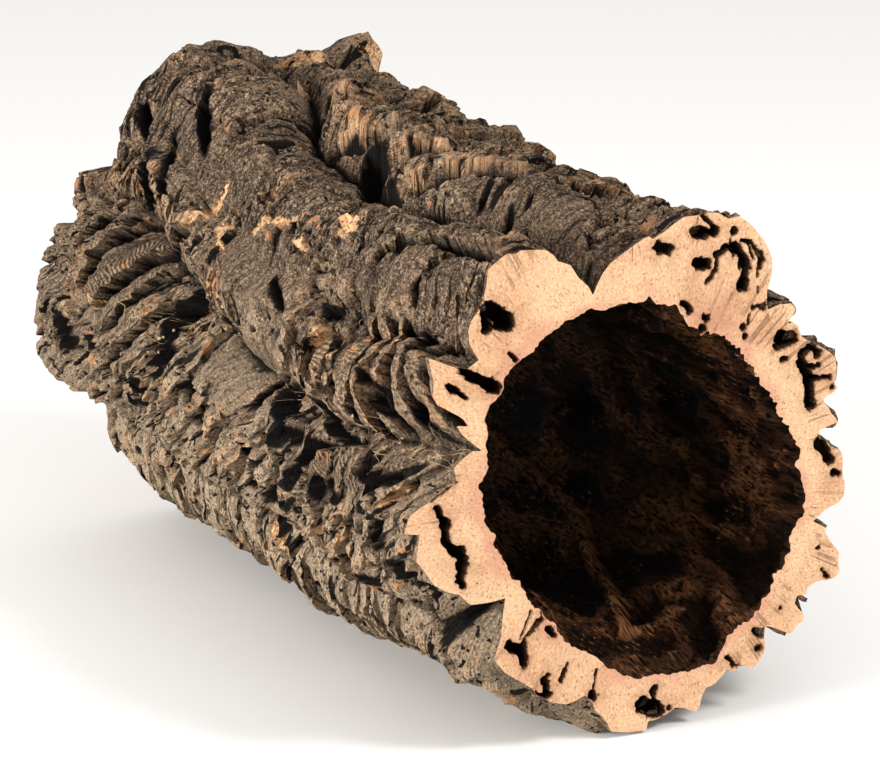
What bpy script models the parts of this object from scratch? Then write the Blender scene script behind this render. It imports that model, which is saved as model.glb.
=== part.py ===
"""Cork branch: the bark of one cork oak branch, slipped off whole as a tube and sawn square at both ends.

The tube lies along X with its mouth at +X. Angles go round X, from 0 at +Y by 90 at +Z.
The tables give angles in degrees and lengths in millimetres, and the mesh is built in metres.
"""

import bmesh
import bpy
import numpy as np

MM = 0.001
LENGTH = 300.0
MOUTH_X = LENGTH / 2
AXIS_Y = 0.9
AXIS_Z = 87.0

# The plain tube that the lathe turns before the bark is raised on it
PLAIN_OUTER = 85.0
PLAIN_BORE = 60.0
ALONG_STEP = 3.0
BORE_STEP = 12.0
WALL_STEPS = 8
AROUND_STEPS = 168
TRIANGLES = 9400

# Places along the tube, from the mouth to the far end, where the lines below are given
STATIONS = (150, 90, 30, -30, -90, -150)

# Furrow floors and ridge crests in turn round the tube, as angles and radii at the stations
LINES = (
    ("right furrow", (7, 10, 12, 8, 4, 8), (71, 74, 76, 75, 76, 74)),
    ("right ridge", (24, 27, 30, 27, 26, 28), (82, 85, 88, 86, 87, 86)),
    ("shoulder furrow", (50, 48, 46, 48, 46, 44), (73, 77, 78, 77, 76, 77)),
    ("skyline ridge", (67, 63, 62, 61, 60, 60), (92, 82, 83, 87, 90, 91)),
    ("crown furrow", (86, 80, 84, 80, 73, 70), (84, 82, 77, 77, 79, 84)),
    ("crown ridge", (91, 96, 100, 95, 82, 79), (84, 91, 90, 92, 92, 93)),
    ("top furrow", (106, 110, 114, 106, 90, 86), (69, 73, 71, 75, 78, 83)),
    ("broad ridge", (121, 125, 128, 122, 115, 112), (95, 93, 89, 91, 94, 97)),
    ("split", (141, 145, 146, 137, 129, 131), (82, 82, 86, 88, 89, 90)),
    ("shell ridge", (150, 157, 156, 147, 135, 136), (92, 89, 88, 89, 91, 84)),
    ("side furrow", (163, 172, 167, 157, 141, 148), (72, 75, 76, 76, 84, 82)),
    ("scaly ridge", (183, 190, 187, 178, 164, 178), (87, 85, 85, 86, 91, 89)),
    ("low furrow", (213, 216, 212, 213, 205, 207), (70, 74, 76, 76, 77, 72)),
    ("low ridge", (229, 233, 232, 234, 232, 230), (84, 85, 88, 87, 86, 85)),
    ("under furrow", (239, 246, 246, 247, 244, 247), (78, 79, 79, 79, 79, 78)),
    ("left keel", (264, 263, 262, 263, 260, 262), (87, 87, 86, 87, 87, 86)),
    ("keel furrow", (277, 276, 274, 276, 275, 277), (81, 78, 77, 78, 78, 77)),
    ("right keel", (286, 288, 288, 289, 290, 288), (88, 89, 88, 89, 89, 89)),
    ("back furrow", (311, 308, 306, 309, 311, 308), (74, 75, 76, 76, 75, 76)),
    ("back ridge", (330, 327, 325, 328, 330, 326), (89, 87, 88, 86, 88, 86)),
    ("hip furrow", (342, 345, 343, 346, 342, 344), (72, 75, 76, 74, 76, 75)),
    ("hip ridge", (353, 357, 355, 356, 353, 357), (81, 84, 86, 85, 87, 84)),
)

# How far in degrees the ridges wander off their lines, over what distance, and how full their crests are
WANDER = 3.0
WANDER_SIZE = 45.0
CREST_FULLNESS = 0.7

# The ragged rim of the mouth as angle and radius, and how far behind it the ridges and the relief begin
MOUTH_RIM = (
    (0, 79), (5, 70), (8, 77), (11, 72), (16, 79), (24, 82), (35, 73), (42, 78), (50, 72), (54, 84),
    (60, 90), (67, 92), (76, 91), (83, 88), (88, 84), (94, 80), (101, 74), (106, 69), (109, 77),
    (112, 86), (115, 93), (121, 96), (128, 93), (136, 89), (141, 82), (146, 93), (152, 87), (156, 79),
    (162, 69), (169, 75), (175, 80), (180, 87), (185, 82), (195, 81), (202, 75), (207, 74), (213, 78),
    (217, 85), (223, 84), (232, 82), (243, 81), (256, 83), (264, 86), (271, 86), (277, 82), (286, 87),
    (294, 80), (303, 85), (310, 73), (313, 84), (319, 87), (323, 78), (330, 90), (334, 88), (342, 72),
    (352, 81),
)
RIM_REACH = 45.0
RELIEF_REACH = 12.0

# The rim of the far end as angle and radius, its reach along the tube, and where it is at full height
FAR_RIM = (
    (8, 74), (28, 86), (44, 76), (51, 84), (55, 89), (57, 101), (62, 106), (66, 101), (69, 95), (72, 90),
    (76, 92), (80, 88), (86, 90), (93, 94), (97, 97), (110, 97), (119, 92), (128, 84), (132, 79),
    (136, 75), (139, 79), (141, 83), (144, 88), (148, 85), (152, 83), (154, 77), (156, 79), (158, 86),
    (165, 88), (178, 89), (188, 90), (193, 90), (200, 86), (203, 82), (206, 73), (214, 74), (230, 84),
    (247, 78), (262, 86), (277, 78), (288, 89), (308, 76), (326, 86), (344, 75), (357, 84),
)
FAR_REACH = 17.0
FAR_LEVEL = 7.0

# The bore, slightly out of round, as angle and radius
BORE_RIM = (
    (0, 61), (20, 56), (40, 53), (60, 55), (77, 61), (90, 62), (118, 65), (150, 65), (165, 60), (185, 55),
    (208, 53), (230, 53), (245, 56), (259, 63), (286, 70), (309, 69), (335, 65), (352, 64),
)

# Holes in the bark as place along the tube, angle, half length, half width, slant and depth
BARK_HOLES = (
    (6, 107, 13, 7, 25, 14),
    (67, 146, 8, 4, 0, 9),
    (-46, 170, 19, 7.5, 126, 15),
    (41, 174, 10, 5, 10, 9),
    (69, 182, 11, 4, 132, 8),
    (-80, 121, 14, 4, 32, 8),
    (141, 200, 9, 5, 60, 8),
    (20, 203, 10, 5, 0, 7),
    (-20, 318, 11, 7, 20, 11),
    (60, 20, 12, 6, 15, 11),
    (-70, 40, 10, 7, -20, 11),
    (85, 338, 9, 7, 0, 10),
    (-105, 352, 12, 6, 10, 10),
    (10, 262, 9, 5, 60, 8),
    (-60, 236, 8, 4, 40, 7),
    (150, 213, 10, 15, 0, 17),
    (150, 234, 9, 17, 0, 7),
)
HOLE_FOOT = 1.1
HOLE_TOP = 0.6

# Hollows in the sawn mouth as radius, angle, half depth of the wall, half width and depth
MOUTH_HOLES = (
    (83, 130, 6, 6, 9),
    (78, 276, 5, 6, 10),
    (69, 228, 5, 5, 8),
    (70, 190, 3.5, 12, 8),
    (75, 146, 8, 3.5, 7),
    (74, 60, 5, 4.5, 7),
    (79, 79, 4, 6, 5),
)

# Knobs as place along the tube, angle, half length, half width, slant and height
KNOBS = (
    (-142, 107, 8, 9, 0, 3),
    (60, 119, 30, 14, 0, 3),
    (-95, 110, 40, 22, 0, 4),
    (-110, 163, 24, 12, 0, 2),
    (68, 109, 13, 7, 0, 5),
)
KNOB_FOOT = 1.2
KNOB_TOP = 0.4

# Slabs with an even surface, as place along, angle, half length, half width, slant and how even they are
EVEN_SLABS = (
    (103, 130, 40, 14, -12, 0.75),
    (120, 152, 34, 16, 25, 0.75),
    (-80, 162, 34, 14, -34, 0.75),
    (-66, 174, 26, 9, -38, 0.75),
    (18, 168, 30, 14, -20, 0.75),
    (12, 145, 34, 14, 10, 0.75),
    (-70, 128, 50, 12, 8, 0.75),
    (98, 180, 22, 10, -20, 0.75),
    (95, 103, 40, 8, 5, 0.75),
)
SLAB_FOOT = 1.2
SLAB_TOP = 0.8

# Growth ledges across the ridges: spacing, height, how far they bend toward the mouth beside a crest,
# their slant and how it turns from ridge to ridge, the share of the spacing where they drop, and their shift
LEDGE_SPACING = 19.0
LEDGE_HEIGHT = 4.5
LEDGE_BEND = 9.0
LEDGE_SLANT = 0.25
LEDGE_TURN = 2.4
LEDGE_EDGE = 0.72
LEDGE_MIDDLE = 0.6
LEDGE_SHIFT = 0.37

# The scaly ridge's ledges: height, slant in millimetres a degree at places along the tube, and middle angle
SCALY_HEIGHT = 6.0
SCALY_SLANTS = ((-90, -2.3), (80, -0.8))
SCALY_MIDDLE = 176.0

# The ridges whose ledges stand out most, and by how much
BOLD_RIDGES = ("skyline ridge", "crown ridge")
BOLD_STRENGTH = 1.5

# How far the ledges wave along the tube, how strong and how uneven they are, and over what distances
LEDGE_WAVE = 8.0
LEDGE_WAVE_SIZE = 30.0
LEDGE_STRENGTH = 0.65
LEDGE_UNEVENNESS = 0.6
LEDGE_UNEVEN_SIZE = 40.0

# Broken plates of bark, wider than long: size, squeeze along the tube, height, how bent their outlines are,
# how far they stray from an even pattern, and how much they step and tilt
PLATE_SIZE = 19.0
PLATE_SQUEEZE = 1.5
PLATE_HEIGHT = 2.8
PLATE_WARP = 4.0
PLATE_STRAY = 0.42
PLATE_STEP = 0.6
PLATE_TILT = 0.8

# Soft lumps of the bark and of the bore, as size and height
LUMPS = ((34.0, 2.2), (15.0, 1.6), (8.0, 0.8))
BORE_LUMPS = ((40.0, 1.2), (15.0, 0.5))
THINNEST_WALL = 6.0
SEED = 5

# Where the finishes change: how deep the sawn faces reach, and the bore's greatest radius
SAWN_DEPTH = 1.0
BORE_LIMIT = 74.0

# How near two points join, how near the tube's end a point is sawn, and the wall's share left at its edges
JOIN_NEAR = 0.01
END_NEAR = 0.3
WALL_EDGE = 0.02


def smooth_step(low, high, value):
    share = np.clip((value - low) / (high - low), 0, 1)
    return share * share * (3 - 2 * share)


def turn_between(angle, other):
    """The signed turn from one angle to another in degrees, the short way round."""
    return (np.asarray(angle) - other + 180) % 360 - 180


def random_at(cell, seed):
    """A repeatable number from -1 to 1 for each whole-number cell."""
    mixed = np.sin(cell @ np.array((127.1, 311.7, 74.7)) + seed * 17.3) * 43758.5453
    return 2 * (mixed - np.floor(mixed)) - 1


def lumps(points, size, seed):
    """Soft lumps from -1 to 1, with the given distance between them."""
    low = np.floor(points / size)
    share = points / size - low
    share = share * share * (3 - 2 * share)
    total = np.zeros(len(points))
    for corner in np.ndindex(2, 2, 2):
        weight = np.prod(np.where(np.array(corner) == 1, share, 1 - share), axis=1)
        total += weight * random_at(low + corner, seed)
    return total


def layered_lumps(points, layers, seed):
    """The sum of soft lumps of several sizes, each with its own height."""
    return sum(height * lumps(points, size, seed + number) for number, (size, height) in enumerate(layers))


def plates(points, size, seed):
    """Height from about -1 to 1 of broken plates, each cell level of its own and a little tilted."""
    place = points / size
    low = np.floor(place)
    nearest = np.full(len(points), 9.0)
    height = np.zeros(len(points))
    for step in np.ndindex(3, 3, 3):
        cell = low + np.array(step) - 1
        jitter = np.stack([random_at(cell, seed + axis) for axis in range(3)], axis=1)
        offset = place - (cell + 0.5 + PLATE_STRAY * jitter)
        distance = np.linalg.norm(offset, axis=1)
        tilt = np.stack([random_at(cell, seed + 3 + axis) for axis in range(3)], axis=1)
        level = PLATE_STEP * random_at(cell, seed + 6) + PLATE_TILT * np.sum(offset * tilt, axis=1)
        height = np.where(distance < nearest, level, height)
        nearest = np.minimum(nearest, distance)
    return height


def on_cylinder(along, angle, radius):
    turn = np.radians(angle)
    return np.stack((along, radius * np.cos(turn), radius * np.sin(turn)), axis=1)


def lines_at(along, values):
    """Each line's value at every place along the tube, read between the stations."""
    order = np.argsort(STATIONS)
    places = np.array(STATIONS, float)[order]
    return np.stack([np.interp(along, places, np.array(row, float)[order]) for row in values], axis=1)


def ridges(along, angle):
    """The ridges' radius, distance from crest (0) to furrow (1), number, and degrees from the crest."""
    wander = WANDER * lumps(on_cylinder(along, angle, PLAIN_OUTER), WANDER_SIZE, SEED)
    angles = lines_at(along, [row[1] for row in LINES])
    radii = lines_at(along, [row[2] for row in LINES])
    angles = np.hstack((angles, angles[:, :1] + 360))
    radii = np.hstack((radii, radii[:, :1]))
    angle = angle + wander * smooth_step(MOUTH_X, MOUTH_X - RIM_REACH, along)
    angle = np.where(angle < angles[:, 0], angle + 360, angle)
    angle = np.where(angle >= angles[:, -1], angle - 360, angle)
    line = np.clip((angle[:, None] >= angles[:, 1:]).sum(axis=1), 0, len(LINES) - 1)
    here = np.arange(len(angle))
    start, end = angles[here, line], angles[here, line + 1]
    share = (angle - start) / (end - start)
    climbing = line % 2 == 0
    aside = np.where(climbing, 1 - share, share)
    crest = np.where(climbing, radii[here, line + 1], radii[here, line])
    floor = np.where(climbing, radii[here, line], radii[here, line + 1])
    rise = np.cos(np.pi / 2 * aside) ** CREST_FULLNESS
    crest_angle = np.where(climbing, end, start)
    return floor + (crest - floor) * rise, aside, line // 2, turn_between(angle, crest_angle)


def bumps(along, angle, rows, foot, top):
    """The knobs, holes or slabs, level out to the top's share of each one's size and gone at its foot."""
    total = np.zeros(len(along))
    for place, at, half_length, half_width, slant, height in rows:
        ahead = along - place
        aside = np.radians(turn_between(angle, at)) * PLAIN_OUTER
        cos, sin = np.cos(np.radians(slant)), np.sin(np.radians(slant))
        run = (ahead * cos + aside * sin) / half_length
        distance = np.hypot(run, (aside * cos - ahead * sin) / half_width)
        total = np.maximum(total, height * smooth_step(foot, top, distance))
    return total


def ledges(along, angle, aside, ridge, from_crest, broken):
    """Height of the growth ledges, steep on the side that faces the mouth."""
    around = on_cylinder(along, angle, PLAIN_OUTER)
    names = [row[0] for row in LINES[1::2]]
    scaly = ridge == names.index("scaly ridge")
    bold = np.isin(ridge, [names.index(name) for name in BOLD_RIDGES])
    slant = LEDGE_SLANT * np.cos(ridge * LEDGE_TURN) * from_crest
    scaly_slant = np.interp(along, *zip(*SCALY_SLANTS)) * (angle - SCALY_MIDDLE)
    bend = np.where(scaly, 0, LEDGE_BEND)
    wave = LEDGE_WAVE * lumps(around, LEDGE_WAVE_SIZE, SEED + 1)
    across = along - np.where(scaly, scaly_slant, slant) - bend * aside**2 + wave
    place = across / LEDGE_SPACING + ridge * LEDGE_SHIFT
    tooth = place - np.floor(place)
    shape = np.where(tooth < LEDGE_EDGE, tooth / LEDGE_EDGE, (1 - tooth) / (1 - LEDGE_EDGE))
    height = np.where(scaly, SCALY_HEIGHT, LEDGE_HEIGHT) * np.where(bold, BOLD_STRENGTH, 1)
    strength = LEDGE_STRENGTH + LEDGE_UNEVENNESS * lumps(around, LEDGE_UNEVEN_SIZE, SEED + 2)
    return height * strength * broken * (1 - aside**3) * (shape - LEDGE_MIDDLE)


def rim_radius(angle, rim):
    return np.interp(angle % 360, [row[0] for row in rim], [row[1] for row in rim], period=360)


def bark_radius(along, angle):
    around = on_cylinder(along, angle, PLAIN_OUTER)
    radius, aside, ridge, from_crest = ridges(along, angle)
    radius += (rim_radius(angle, MOUTH_RIM) - radius) * smooth_step(MOUTH_X - RIM_REACH, MOUTH_X, along)
    far = smooth_step(FAR_REACH - MOUTH_X, FAR_LEVEL - MOUTH_X, along)
    radius += (rim_radius(angle, FAR_RIM) - radius) * far
    broken = 1 - bumps(along, angle, EVEN_SLABS, SLAB_FOOT, SLAB_TOP)
    relief = ledges(along, angle, aside, ridge, from_crest, broken)
    relief += layered_lumps(around, LUMPS, SEED + 10)
    cells = around * (PLATE_SQUEEZE, 1, 1) + PLATE_WARP * lumps(around, PLATE_SIZE, SEED + 30)[:, None]
    relief += PLATE_HEIGHT * plates(cells, PLATE_SIZE, SEED + 40) * broken
    radius += relief * smooth_step(MOUTH_X, MOUTH_X - RELIEF_REACH, along)
    radius += bumps(along, angle, KNOBS, KNOB_FOOT, KNOB_TOP)
    return radius - bumps(along, angle, BARK_HOLES, HOLE_FOOT, HOLE_TOP)


def bore_radius(along, angle):
    around = on_cylinder(along, angle, PLAIN_BORE)
    return rim_radius(angle, BORE_RIM) + layered_lumps(around, BORE_LUMPS, SEED + 20)


def mouth_depth(radius, angle):
    """How far each point of the sawn mouth lies back in one of its hollows."""
    depth = np.zeros(len(radius))
    for middle, at, half_wall, half_width, deep in MOUTH_HOLES:
        aside = np.radians(turn_between(angle, at)) * middle
        distance = np.hypot((radius - middle) / half_wall, aside / half_width)
        depth = np.maximum(depth, deep * smooth_step(HOLE_FOOT, HOLE_TOP, distance))
    return depth


def turned_tube():
    """A plain closed tube, spun round X from the outline of its wall."""
    outer = [(x, PLAIN_OUTER) for x in np.arange(MOUTH_X, -MOUTH_X, -ALONG_STEP)]
    wall = np.linspace(PLAIN_OUTER, PLAIN_BORE, WALL_STEPS + 1)[:-1]
    far_end = [(-MOUTH_X, r) for r in wall]
    bore = [(x, PLAIN_BORE) for x in np.arange(-MOUTH_X, MOUTH_X, BORE_STEP)]
    mouth = [(MOUTH_X, r) for r in wall[:0:-1]]
    mesh = bmesh.new()
    outline = [mesh.verts.new((x, r, 0)) for x, r in outer + far_end + bore + [(MOUTH_X, PLAIN_BORE)] + mouth]
    edges = [mesh.edges.new((a, b)) for a, b in zip(outline, outline[1:] + outline[:1])]
    bmesh.ops.spin(
        mesh,
        geom=outline + edges,
        cent=(0, 0, 0),
        axis=(1, 0, 0),
        angle=2 * np.pi,
        steps=AROUND_STEPS,
        use_merge=True,
    )
    bmesh.ops.remove_doubles(mesh, verts=mesh.verts, dist=JOIN_NEAR)
    bmesh.ops.recalc_face_normals(mesh, faces=mesh.faces)
    return mesh


def raised_bark(plain):
    """The plain tube's points moved out to the bark, in to the bore and back into the mouth's hollows."""
    along = plain[:, 0]
    angle = np.degrees(np.arctan2(plain[:, 2], plain[:, 1])) % 360
    wall = (np.hypot(plain[:, 1], plain[:, 2]) - PLAIN_BORE) / (PLAIN_OUTER - PLAIN_BORE)
    inner = bore_radius(along, angle)
    outer = np.maximum(bark_radius(along, angle), inner + THINNEST_WALL)
    radius = inner + wall * (outer - inner)
    on_mouth = (along > MOUTH_X - JOIN_NEAR) & (wall > WALL_EDGE) & (wall < 1 - WALL_EDGE)
    along = along - np.where(on_mouth, mouth_depth(radius, angle), 0)
    return on_cylinder(along, angle, radius)


def settled(points):
    """Points in place over the ground, with flat sawn ends and the lowest lobes flat where they rest."""
    points = points.copy()
    near_end = np.abs(points[:, 0]) > MOUTH_X - END_NEAR
    points[near_end, 0] = np.sign(points[near_end, 0]) * MOUTH_X
    points[:, 1] += AXIS_Y
    points[:, 2] = np.maximum(points[:, 2] + AXIS_Z, 0)
    return points


def move_points(mesh, change):
    flat = np.empty(len(mesh.vertices) * 3)
    mesh.vertices.foreach_get("co", flat)
    mesh.vertices.foreach_set("co", change(flat.reshape(-1, 3)).ravel())
    mesh.update()


def finish(name, color, roughness):
    """A plain Principled finish."""
    material = bpy.data.materials.new(name)
    material.use_nodes = True
    shader = material.node_tree.nodes["Principled BSDF"]
    shader.inputs["Base Color"].default_value = (*color, 1)
    shader.inputs["Roughness"].default_value = roughness
    shader.inputs["Metallic"].default_value = 0
    material.diffuse_color = (*color, 1)
    return material


def paint(mesh):
    """Bark outside, pale cork on the sawn ends, and a dark bore."""
    mesh.materials.append(finish("bark", (0.09, 0.065, 0.047), 0.9))
    mesh.materials.append(finish("cut_cork", (0.80, 0.56, 0.36), 0.8))
    mesh.materials.append(finish("bore", (0.022, 0.013, 0.008), 0.9))
    for face in mesh.polygons:
        middle = face.center
        faces_axis = face.normal.y * middle.y + face.normal.z * middle.z < 0
        if abs(face.normal.x) > 0.5 and abs(middle.x) > MOUTH_X - SAWN_DEPTH:
            face.material_index = 1
        elif faces_axis and np.hypot(middle.y, middle.z) < BORE_LIMIT:
            face.material_index = 2


def cork_tube(collection):
    turned = turned_tube()
    mesh = bpy.data.meshes.new("cork_tube")
    turned.to_mesh(mesh)
    turned.free()
    move_points(mesh, raised_bark)
    paint(mesh)
    fine = bpy.data.objects.new("fine_tube", mesh)
    collection.objects.link(fine)
    fewer = fine.modifiers.new("fewer faces", "DECIMATE")
    fewer.ratio = TRIANGLES / (2 * len(mesh.polygons))
    bpy.context.view_layer.update()
    evaluated = fine.evaluated_get(bpy.context.evaluated_depsgraph_get())
    coarse = bpy.data.meshes.new_from_object(evaluated)
    bpy.data.objects.remove(fine)
    coarse.name = "cork_tube"
    move_points(coarse, lambda points: settled(points) * MM)
    tube = bpy.data.objects.new("cork_tube", coarse)
    collection.objects.link(tube)
    return tube


def main():
    for thing in list(bpy.data.objects):
        bpy.data.objects.remove(thing, do_unlink=True)
    collection = bpy.data.collections.new("cork_branch")
    bpy.context.scene.collection.children.link(collection)
    cork_tube(collection)


main()
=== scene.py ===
"""Cork branch: the bark of one cork oak branch, slipped off whole as a tube and sawn square at both ends.

The tube lies along X with its mouth at +X. Angles go round X, from 0 at +Y by 90 at +Z.
Tables give angles in degrees and lengths in millimetres, and the meshes are in metres.
"""

import bmesh
import bpy
import numpy as np
from mathutils import Matrix, Vector


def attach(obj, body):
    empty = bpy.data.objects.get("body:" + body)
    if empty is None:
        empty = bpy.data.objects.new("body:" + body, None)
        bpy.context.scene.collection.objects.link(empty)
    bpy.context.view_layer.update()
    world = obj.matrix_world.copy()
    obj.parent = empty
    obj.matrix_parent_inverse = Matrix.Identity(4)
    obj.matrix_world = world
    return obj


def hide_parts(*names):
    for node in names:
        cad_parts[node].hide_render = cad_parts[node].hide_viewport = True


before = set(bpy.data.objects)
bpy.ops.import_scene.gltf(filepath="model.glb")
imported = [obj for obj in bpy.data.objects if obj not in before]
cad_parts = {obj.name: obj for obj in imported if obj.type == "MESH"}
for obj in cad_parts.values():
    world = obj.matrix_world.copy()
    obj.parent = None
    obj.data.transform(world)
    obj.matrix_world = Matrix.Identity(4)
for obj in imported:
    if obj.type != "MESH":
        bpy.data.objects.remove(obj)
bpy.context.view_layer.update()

# The branch's bark: virgin cork, grown as one thick tube of ridges and furrows round the wood.
# A flat sheet is rolled and closed into a plain hollow tube, raised into ridges, ledges, plates and pits,
# and thinned to the faces that the relief needs.
MM = 0.001
LENGTH = 300.0
MOUTH_X = LENGTH / 2
AXIS_Y = 0.9
AXIS_Z = 87.0
PLAIN_OUTER = 85.0
PLAIN_BORE = 60.0
LEAST_WALL = 2.5
ALONG_STEP = 0.625
AROUND_STEPS = 1120
BORE_STEP = 2.5
MOUTH_WALL_STEPS = 60
FAR_WALL_STEPS = 24
SEAM_REACH = 0.01
MOUTH_KEPT = 0.00004
MOUTH_HOLLOW_KEPT = 0.5
BARK_TRIANGLES = 197000
SHARP_EDGE = 34

# Places along the tube, from the mouth to the far end, where the lines below are given
STATIONS = (150, 90, 30, -30, -90, -150)

# Furrow floors and ridge crests in turn round the tube, as angles and radii at the stations
LINES = (
    ("right furrow", (7, 10, 12, 8, 4, 8), (71, 74, 76, 75, 76, 74)),
    ("right ridge", (24, 27, 30, 27, 26, 28), (82, 85, 88, 86, 87, 86)),
    ("shoulder furrow", (50, 48, 46, 48, 46, 44), (73, 77, 78, 77, 76, 77)),
    ("skyline ridge", (67, 63, 62, 61, 60, 60), (92, 82, 83, 87, 90, 91)),
    ("crown furrow", (86, 80, 84, 80, 73, 70), (84, 82, 77, 77, 79, 84)),
    ("crown ridge", (91, 96, 100, 95, 82, 79), (84, 91, 90, 92, 92, 93)),
    ("top furrow", (106, 110, 114, 106, 90, 86), (69, 73, 71, 75, 78, 83)),
    ("broad ridge", (121, 125, 128, 122, 115, 112), (95, 93, 89, 91, 94, 97)),
    ("split", (141, 145, 146, 137, 129, 131), (82, 82, 86, 88, 89, 90)),
    ("shell ridge", (150, 157, 156, 147, 135, 136), (92, 89, 88, 89, 91, 84)),
    ("side furrow", (163, 172, 167, 157, 141, 148), (72, 75, 76, 76, 84, 82)),
    ("scaly ridge", (183, 190, 187, 178, 164, 178), (87, 85, 85, 86, 91, 89)),
    ("low furrow", (213, 216, 212, 213, 205, 207), (70, 74, 76, 76, 77, 72)),
    ("low ridge", (229, 233, 232, 234, 232, 230), (84, 85, 88, 87, 86, 85)),
    ("under furrow", (239, 246, 246, 247, 244, 247), (78, 79, 79, 79, 79, 78)),
    ("left keel", (264, 263, 262, 263, 260, 262), (87, 87, 86, 87, 87, 86)),
    ("keel furrow", (277, 276, 274, 276, 275, 277), (81, 78, 77, 78, 78, 77)),
    ("right keel", (286, 288, 288, 289, 290, 288), (88, 89, 88, 89, 89, 89)),
    ("back furrow", (311, 308, 306, 309, 311, 308), (74, 75, 76, 76, 75, 76)),
    ("back ridge", (330, 327, 325, 328, 330, 326), (89, 87, 88, 86, 88, 86)),
    ("hip furrow", (342, 345, 343, 346, 342, 344), (72, 75, 76, 74, 76, 75)),
    ("hip ridge", (353, 357, 355, 356, 353, 357), (81, 84, 86, 85, 87, 84)),
)

# How the ridges stray from their lines, as the spacing of the bends, their size in degrees and their seed
WANDERS = ((45.0, 3.0, 0), (17.0, 2.2, 7))
CREST_ROUNDNESS = 0.7

# The main lobes of the mouth's rim as angle and radius, which the ridges grow into
RIM_LOBES = (
    (0, 79), (5, 70), (8, 77), (11, 72), (16, 79), (24, 82), (35, 73), (42, 78), (50, 72), (54, 84), (60, 90),
    (67, 92), (76, 91), (83, 88), (88, 84), (94, 80), (101, 74), (106, 69), (109, 77), (112, 86), (115, 93),
    (121, 96), (128, 93), (136, 89), (141, 82), (146, 93), (152, 87), (156, 79), (162, 72), (169, 76),
    (175, 80), (180, 87), (185, 82), (195, 81), (202, 75), (207, 74), (213, 78), (217, 85), (223, 84),
    (232, 82), (243, 81), (256, 83), (264, 86), (271, 86), (277, 82), (286, 87), (294, 80), (303, 85),
    (310, 73), (313, 84), (319, 87), (323, 78), (330, 90), (334, 88), (342, 72), (352, 81),
)
LOBE_REACH = 45.0

# The ragged edge of the sawn mouth in full, as angle and radius, which fades out close behind it
RAGGED_RIM = (
    (0.4, 78), (1.1, 76), (1.9, 74), (3.6, 72.6), (4.5, 70.2), (7.2, 70), (7.6, 77.5), (9, 76.9),
    (10.7, 75.3), (12.4, 74.7), (14.1, 73.7), (15.2, 73), (15.8, 77.9), (16.4, 79.7), (17.7, 78.7),
    (19.3, 80), (21.6, 81.4), (23.7, 81.9), (25.6, 81), (27.9, 79.2), (30.2, 77.5), (32.3, 75.7),
    (34.3, 74.5), (37.5, 75.6), (39.3, 75), (40.2, 73), (40.8, 76.8), (41.4, 78.6), (43.5, 78.5), (46.1, 75),
    (47.8, 71.5), (49.2, 72.7), (51.4, 76.1), (52, 78.7), (53.2, 82.4), (54.9, 85.6), (56.7, 87.4),
    (59, 89.3), (60.9, 90.4), (63.6, 92.1), (67.3, 93.2), (69.5, 91.3), (72.3, 92.3), (74.8, 91.7),
    (77.2, 90.2), (80.3, 89.3), (82.7, 86.7), (84.6, 84.4), (87.6, 82.1), (88.7, 83.2), (90, 82.5),
    (94.3, 79.7), (99, 76.9), (101.6, 74.5), (104.3, 70.7), (105.7, 68.6), (106.2, 71.8), (108.3, 76.4),
    (109.3, 81.6), (112, 85.2), (112.2, 87.5), (113.4, 90.5), (118.2, 95.3), (119.5, 95.4), (120.9, 97.3),
    (122.9, 97.6), (125.8, 97.4), (127.6, 94), (129.9, 91.2), (131.6, 89.6), (135, 89.1), (136.8, 87.7),
    (138.6, 84.7), (139.5, 81.6), (140.2, 78.1), (143.5, 80), (144.5, 83.5), (145.1, 86.5), (145.8, 94.3),
    (147.2, 92.2), (149.5, 88.6), (152.4, 86.3), (153.7, 83.6), (154, 80), (155.4, 77), (156.9, 73.9),
    (158.5, 70.9), (160.6, 64.7), (161.5, 61.5), (162, 65.2), (164, 67.6), (167.4, 70.7), (170.8, 69),
    (176, 78), (178.7, 85), (182.6, 87), (183.5, 81.5), (189.6, 83.7), (192, 81.8), (194.4, 80.5),
    (196.8, 79.4), (199.5, 76.4), (202.3, 72.4), (206.6, 70.4), (210, 63.6), (212, 59), (215, 62), (218, 65),
    (221, 68.4), (222.2, 71.5), (223.9, 75), (228.7, 75.8), (233.4, 75.4), (238, 75.5), (240.4, 77),
    (244.8, 77.4), (249.4, 76.9), (251.4, 75.4), (254.1, 72.8), (256.9, 75), (258.1, 77.7), (260.7, 80.1),
    (262.4, 82.7), (263.3, 85.1), (268, 86.1), (272.6, 86.6), (273, 83.6), (275.1, 83.8), (277.6, 83.2),
    (280.6, 81.9), (282.5, 83), (285.4, 86.6), (286.6, 85.6), (288.1, 82.1), (289.7, 80.2), (291.8, 80.8),
    (295, 79.4), (296.4, 78.7), (298, 81), (299.7, 80.6), (301, 81.6), (302, 84.9), (304.6, 84.5),
    (306.5, 83.3), (308, 81.2), (309.5, 77.8), (311, 76.2), (311.9, 77.9), (312.8, 81), (314.1, 86.3),
    (316.9, 86.3), (318.4, 87.3), (319.5, 85.5), (320, 80.2), (322, 79), (323.5, 82), (325, 81.1),
    (327.4, 83.1), (328.7, 86.6), (330.1, 89.4), (331.8, 90), (333.9, 87.4), (335.5, 86.8), (337.5, 81.2),
    (339, 78.2), (340.2, 78.1), (340.9, 73.5), (341.2, 71.8), (344.6, 75.2), (345.8, 77.4), (347, 80),
    (348.7, 81.6), (351.5, 81.4), (354.2, 79.7), (357, 79.4), (359.3, 79),
)
RAGGED_REACH = 9.0

# How far from the ends the bark's relief is at its full height, and the share of it left at the far rim
RELIEF_REACH = 7.0
FAR_RELIEF_REACH = 16.0
FAR_RELIEF = 0.35

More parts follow.
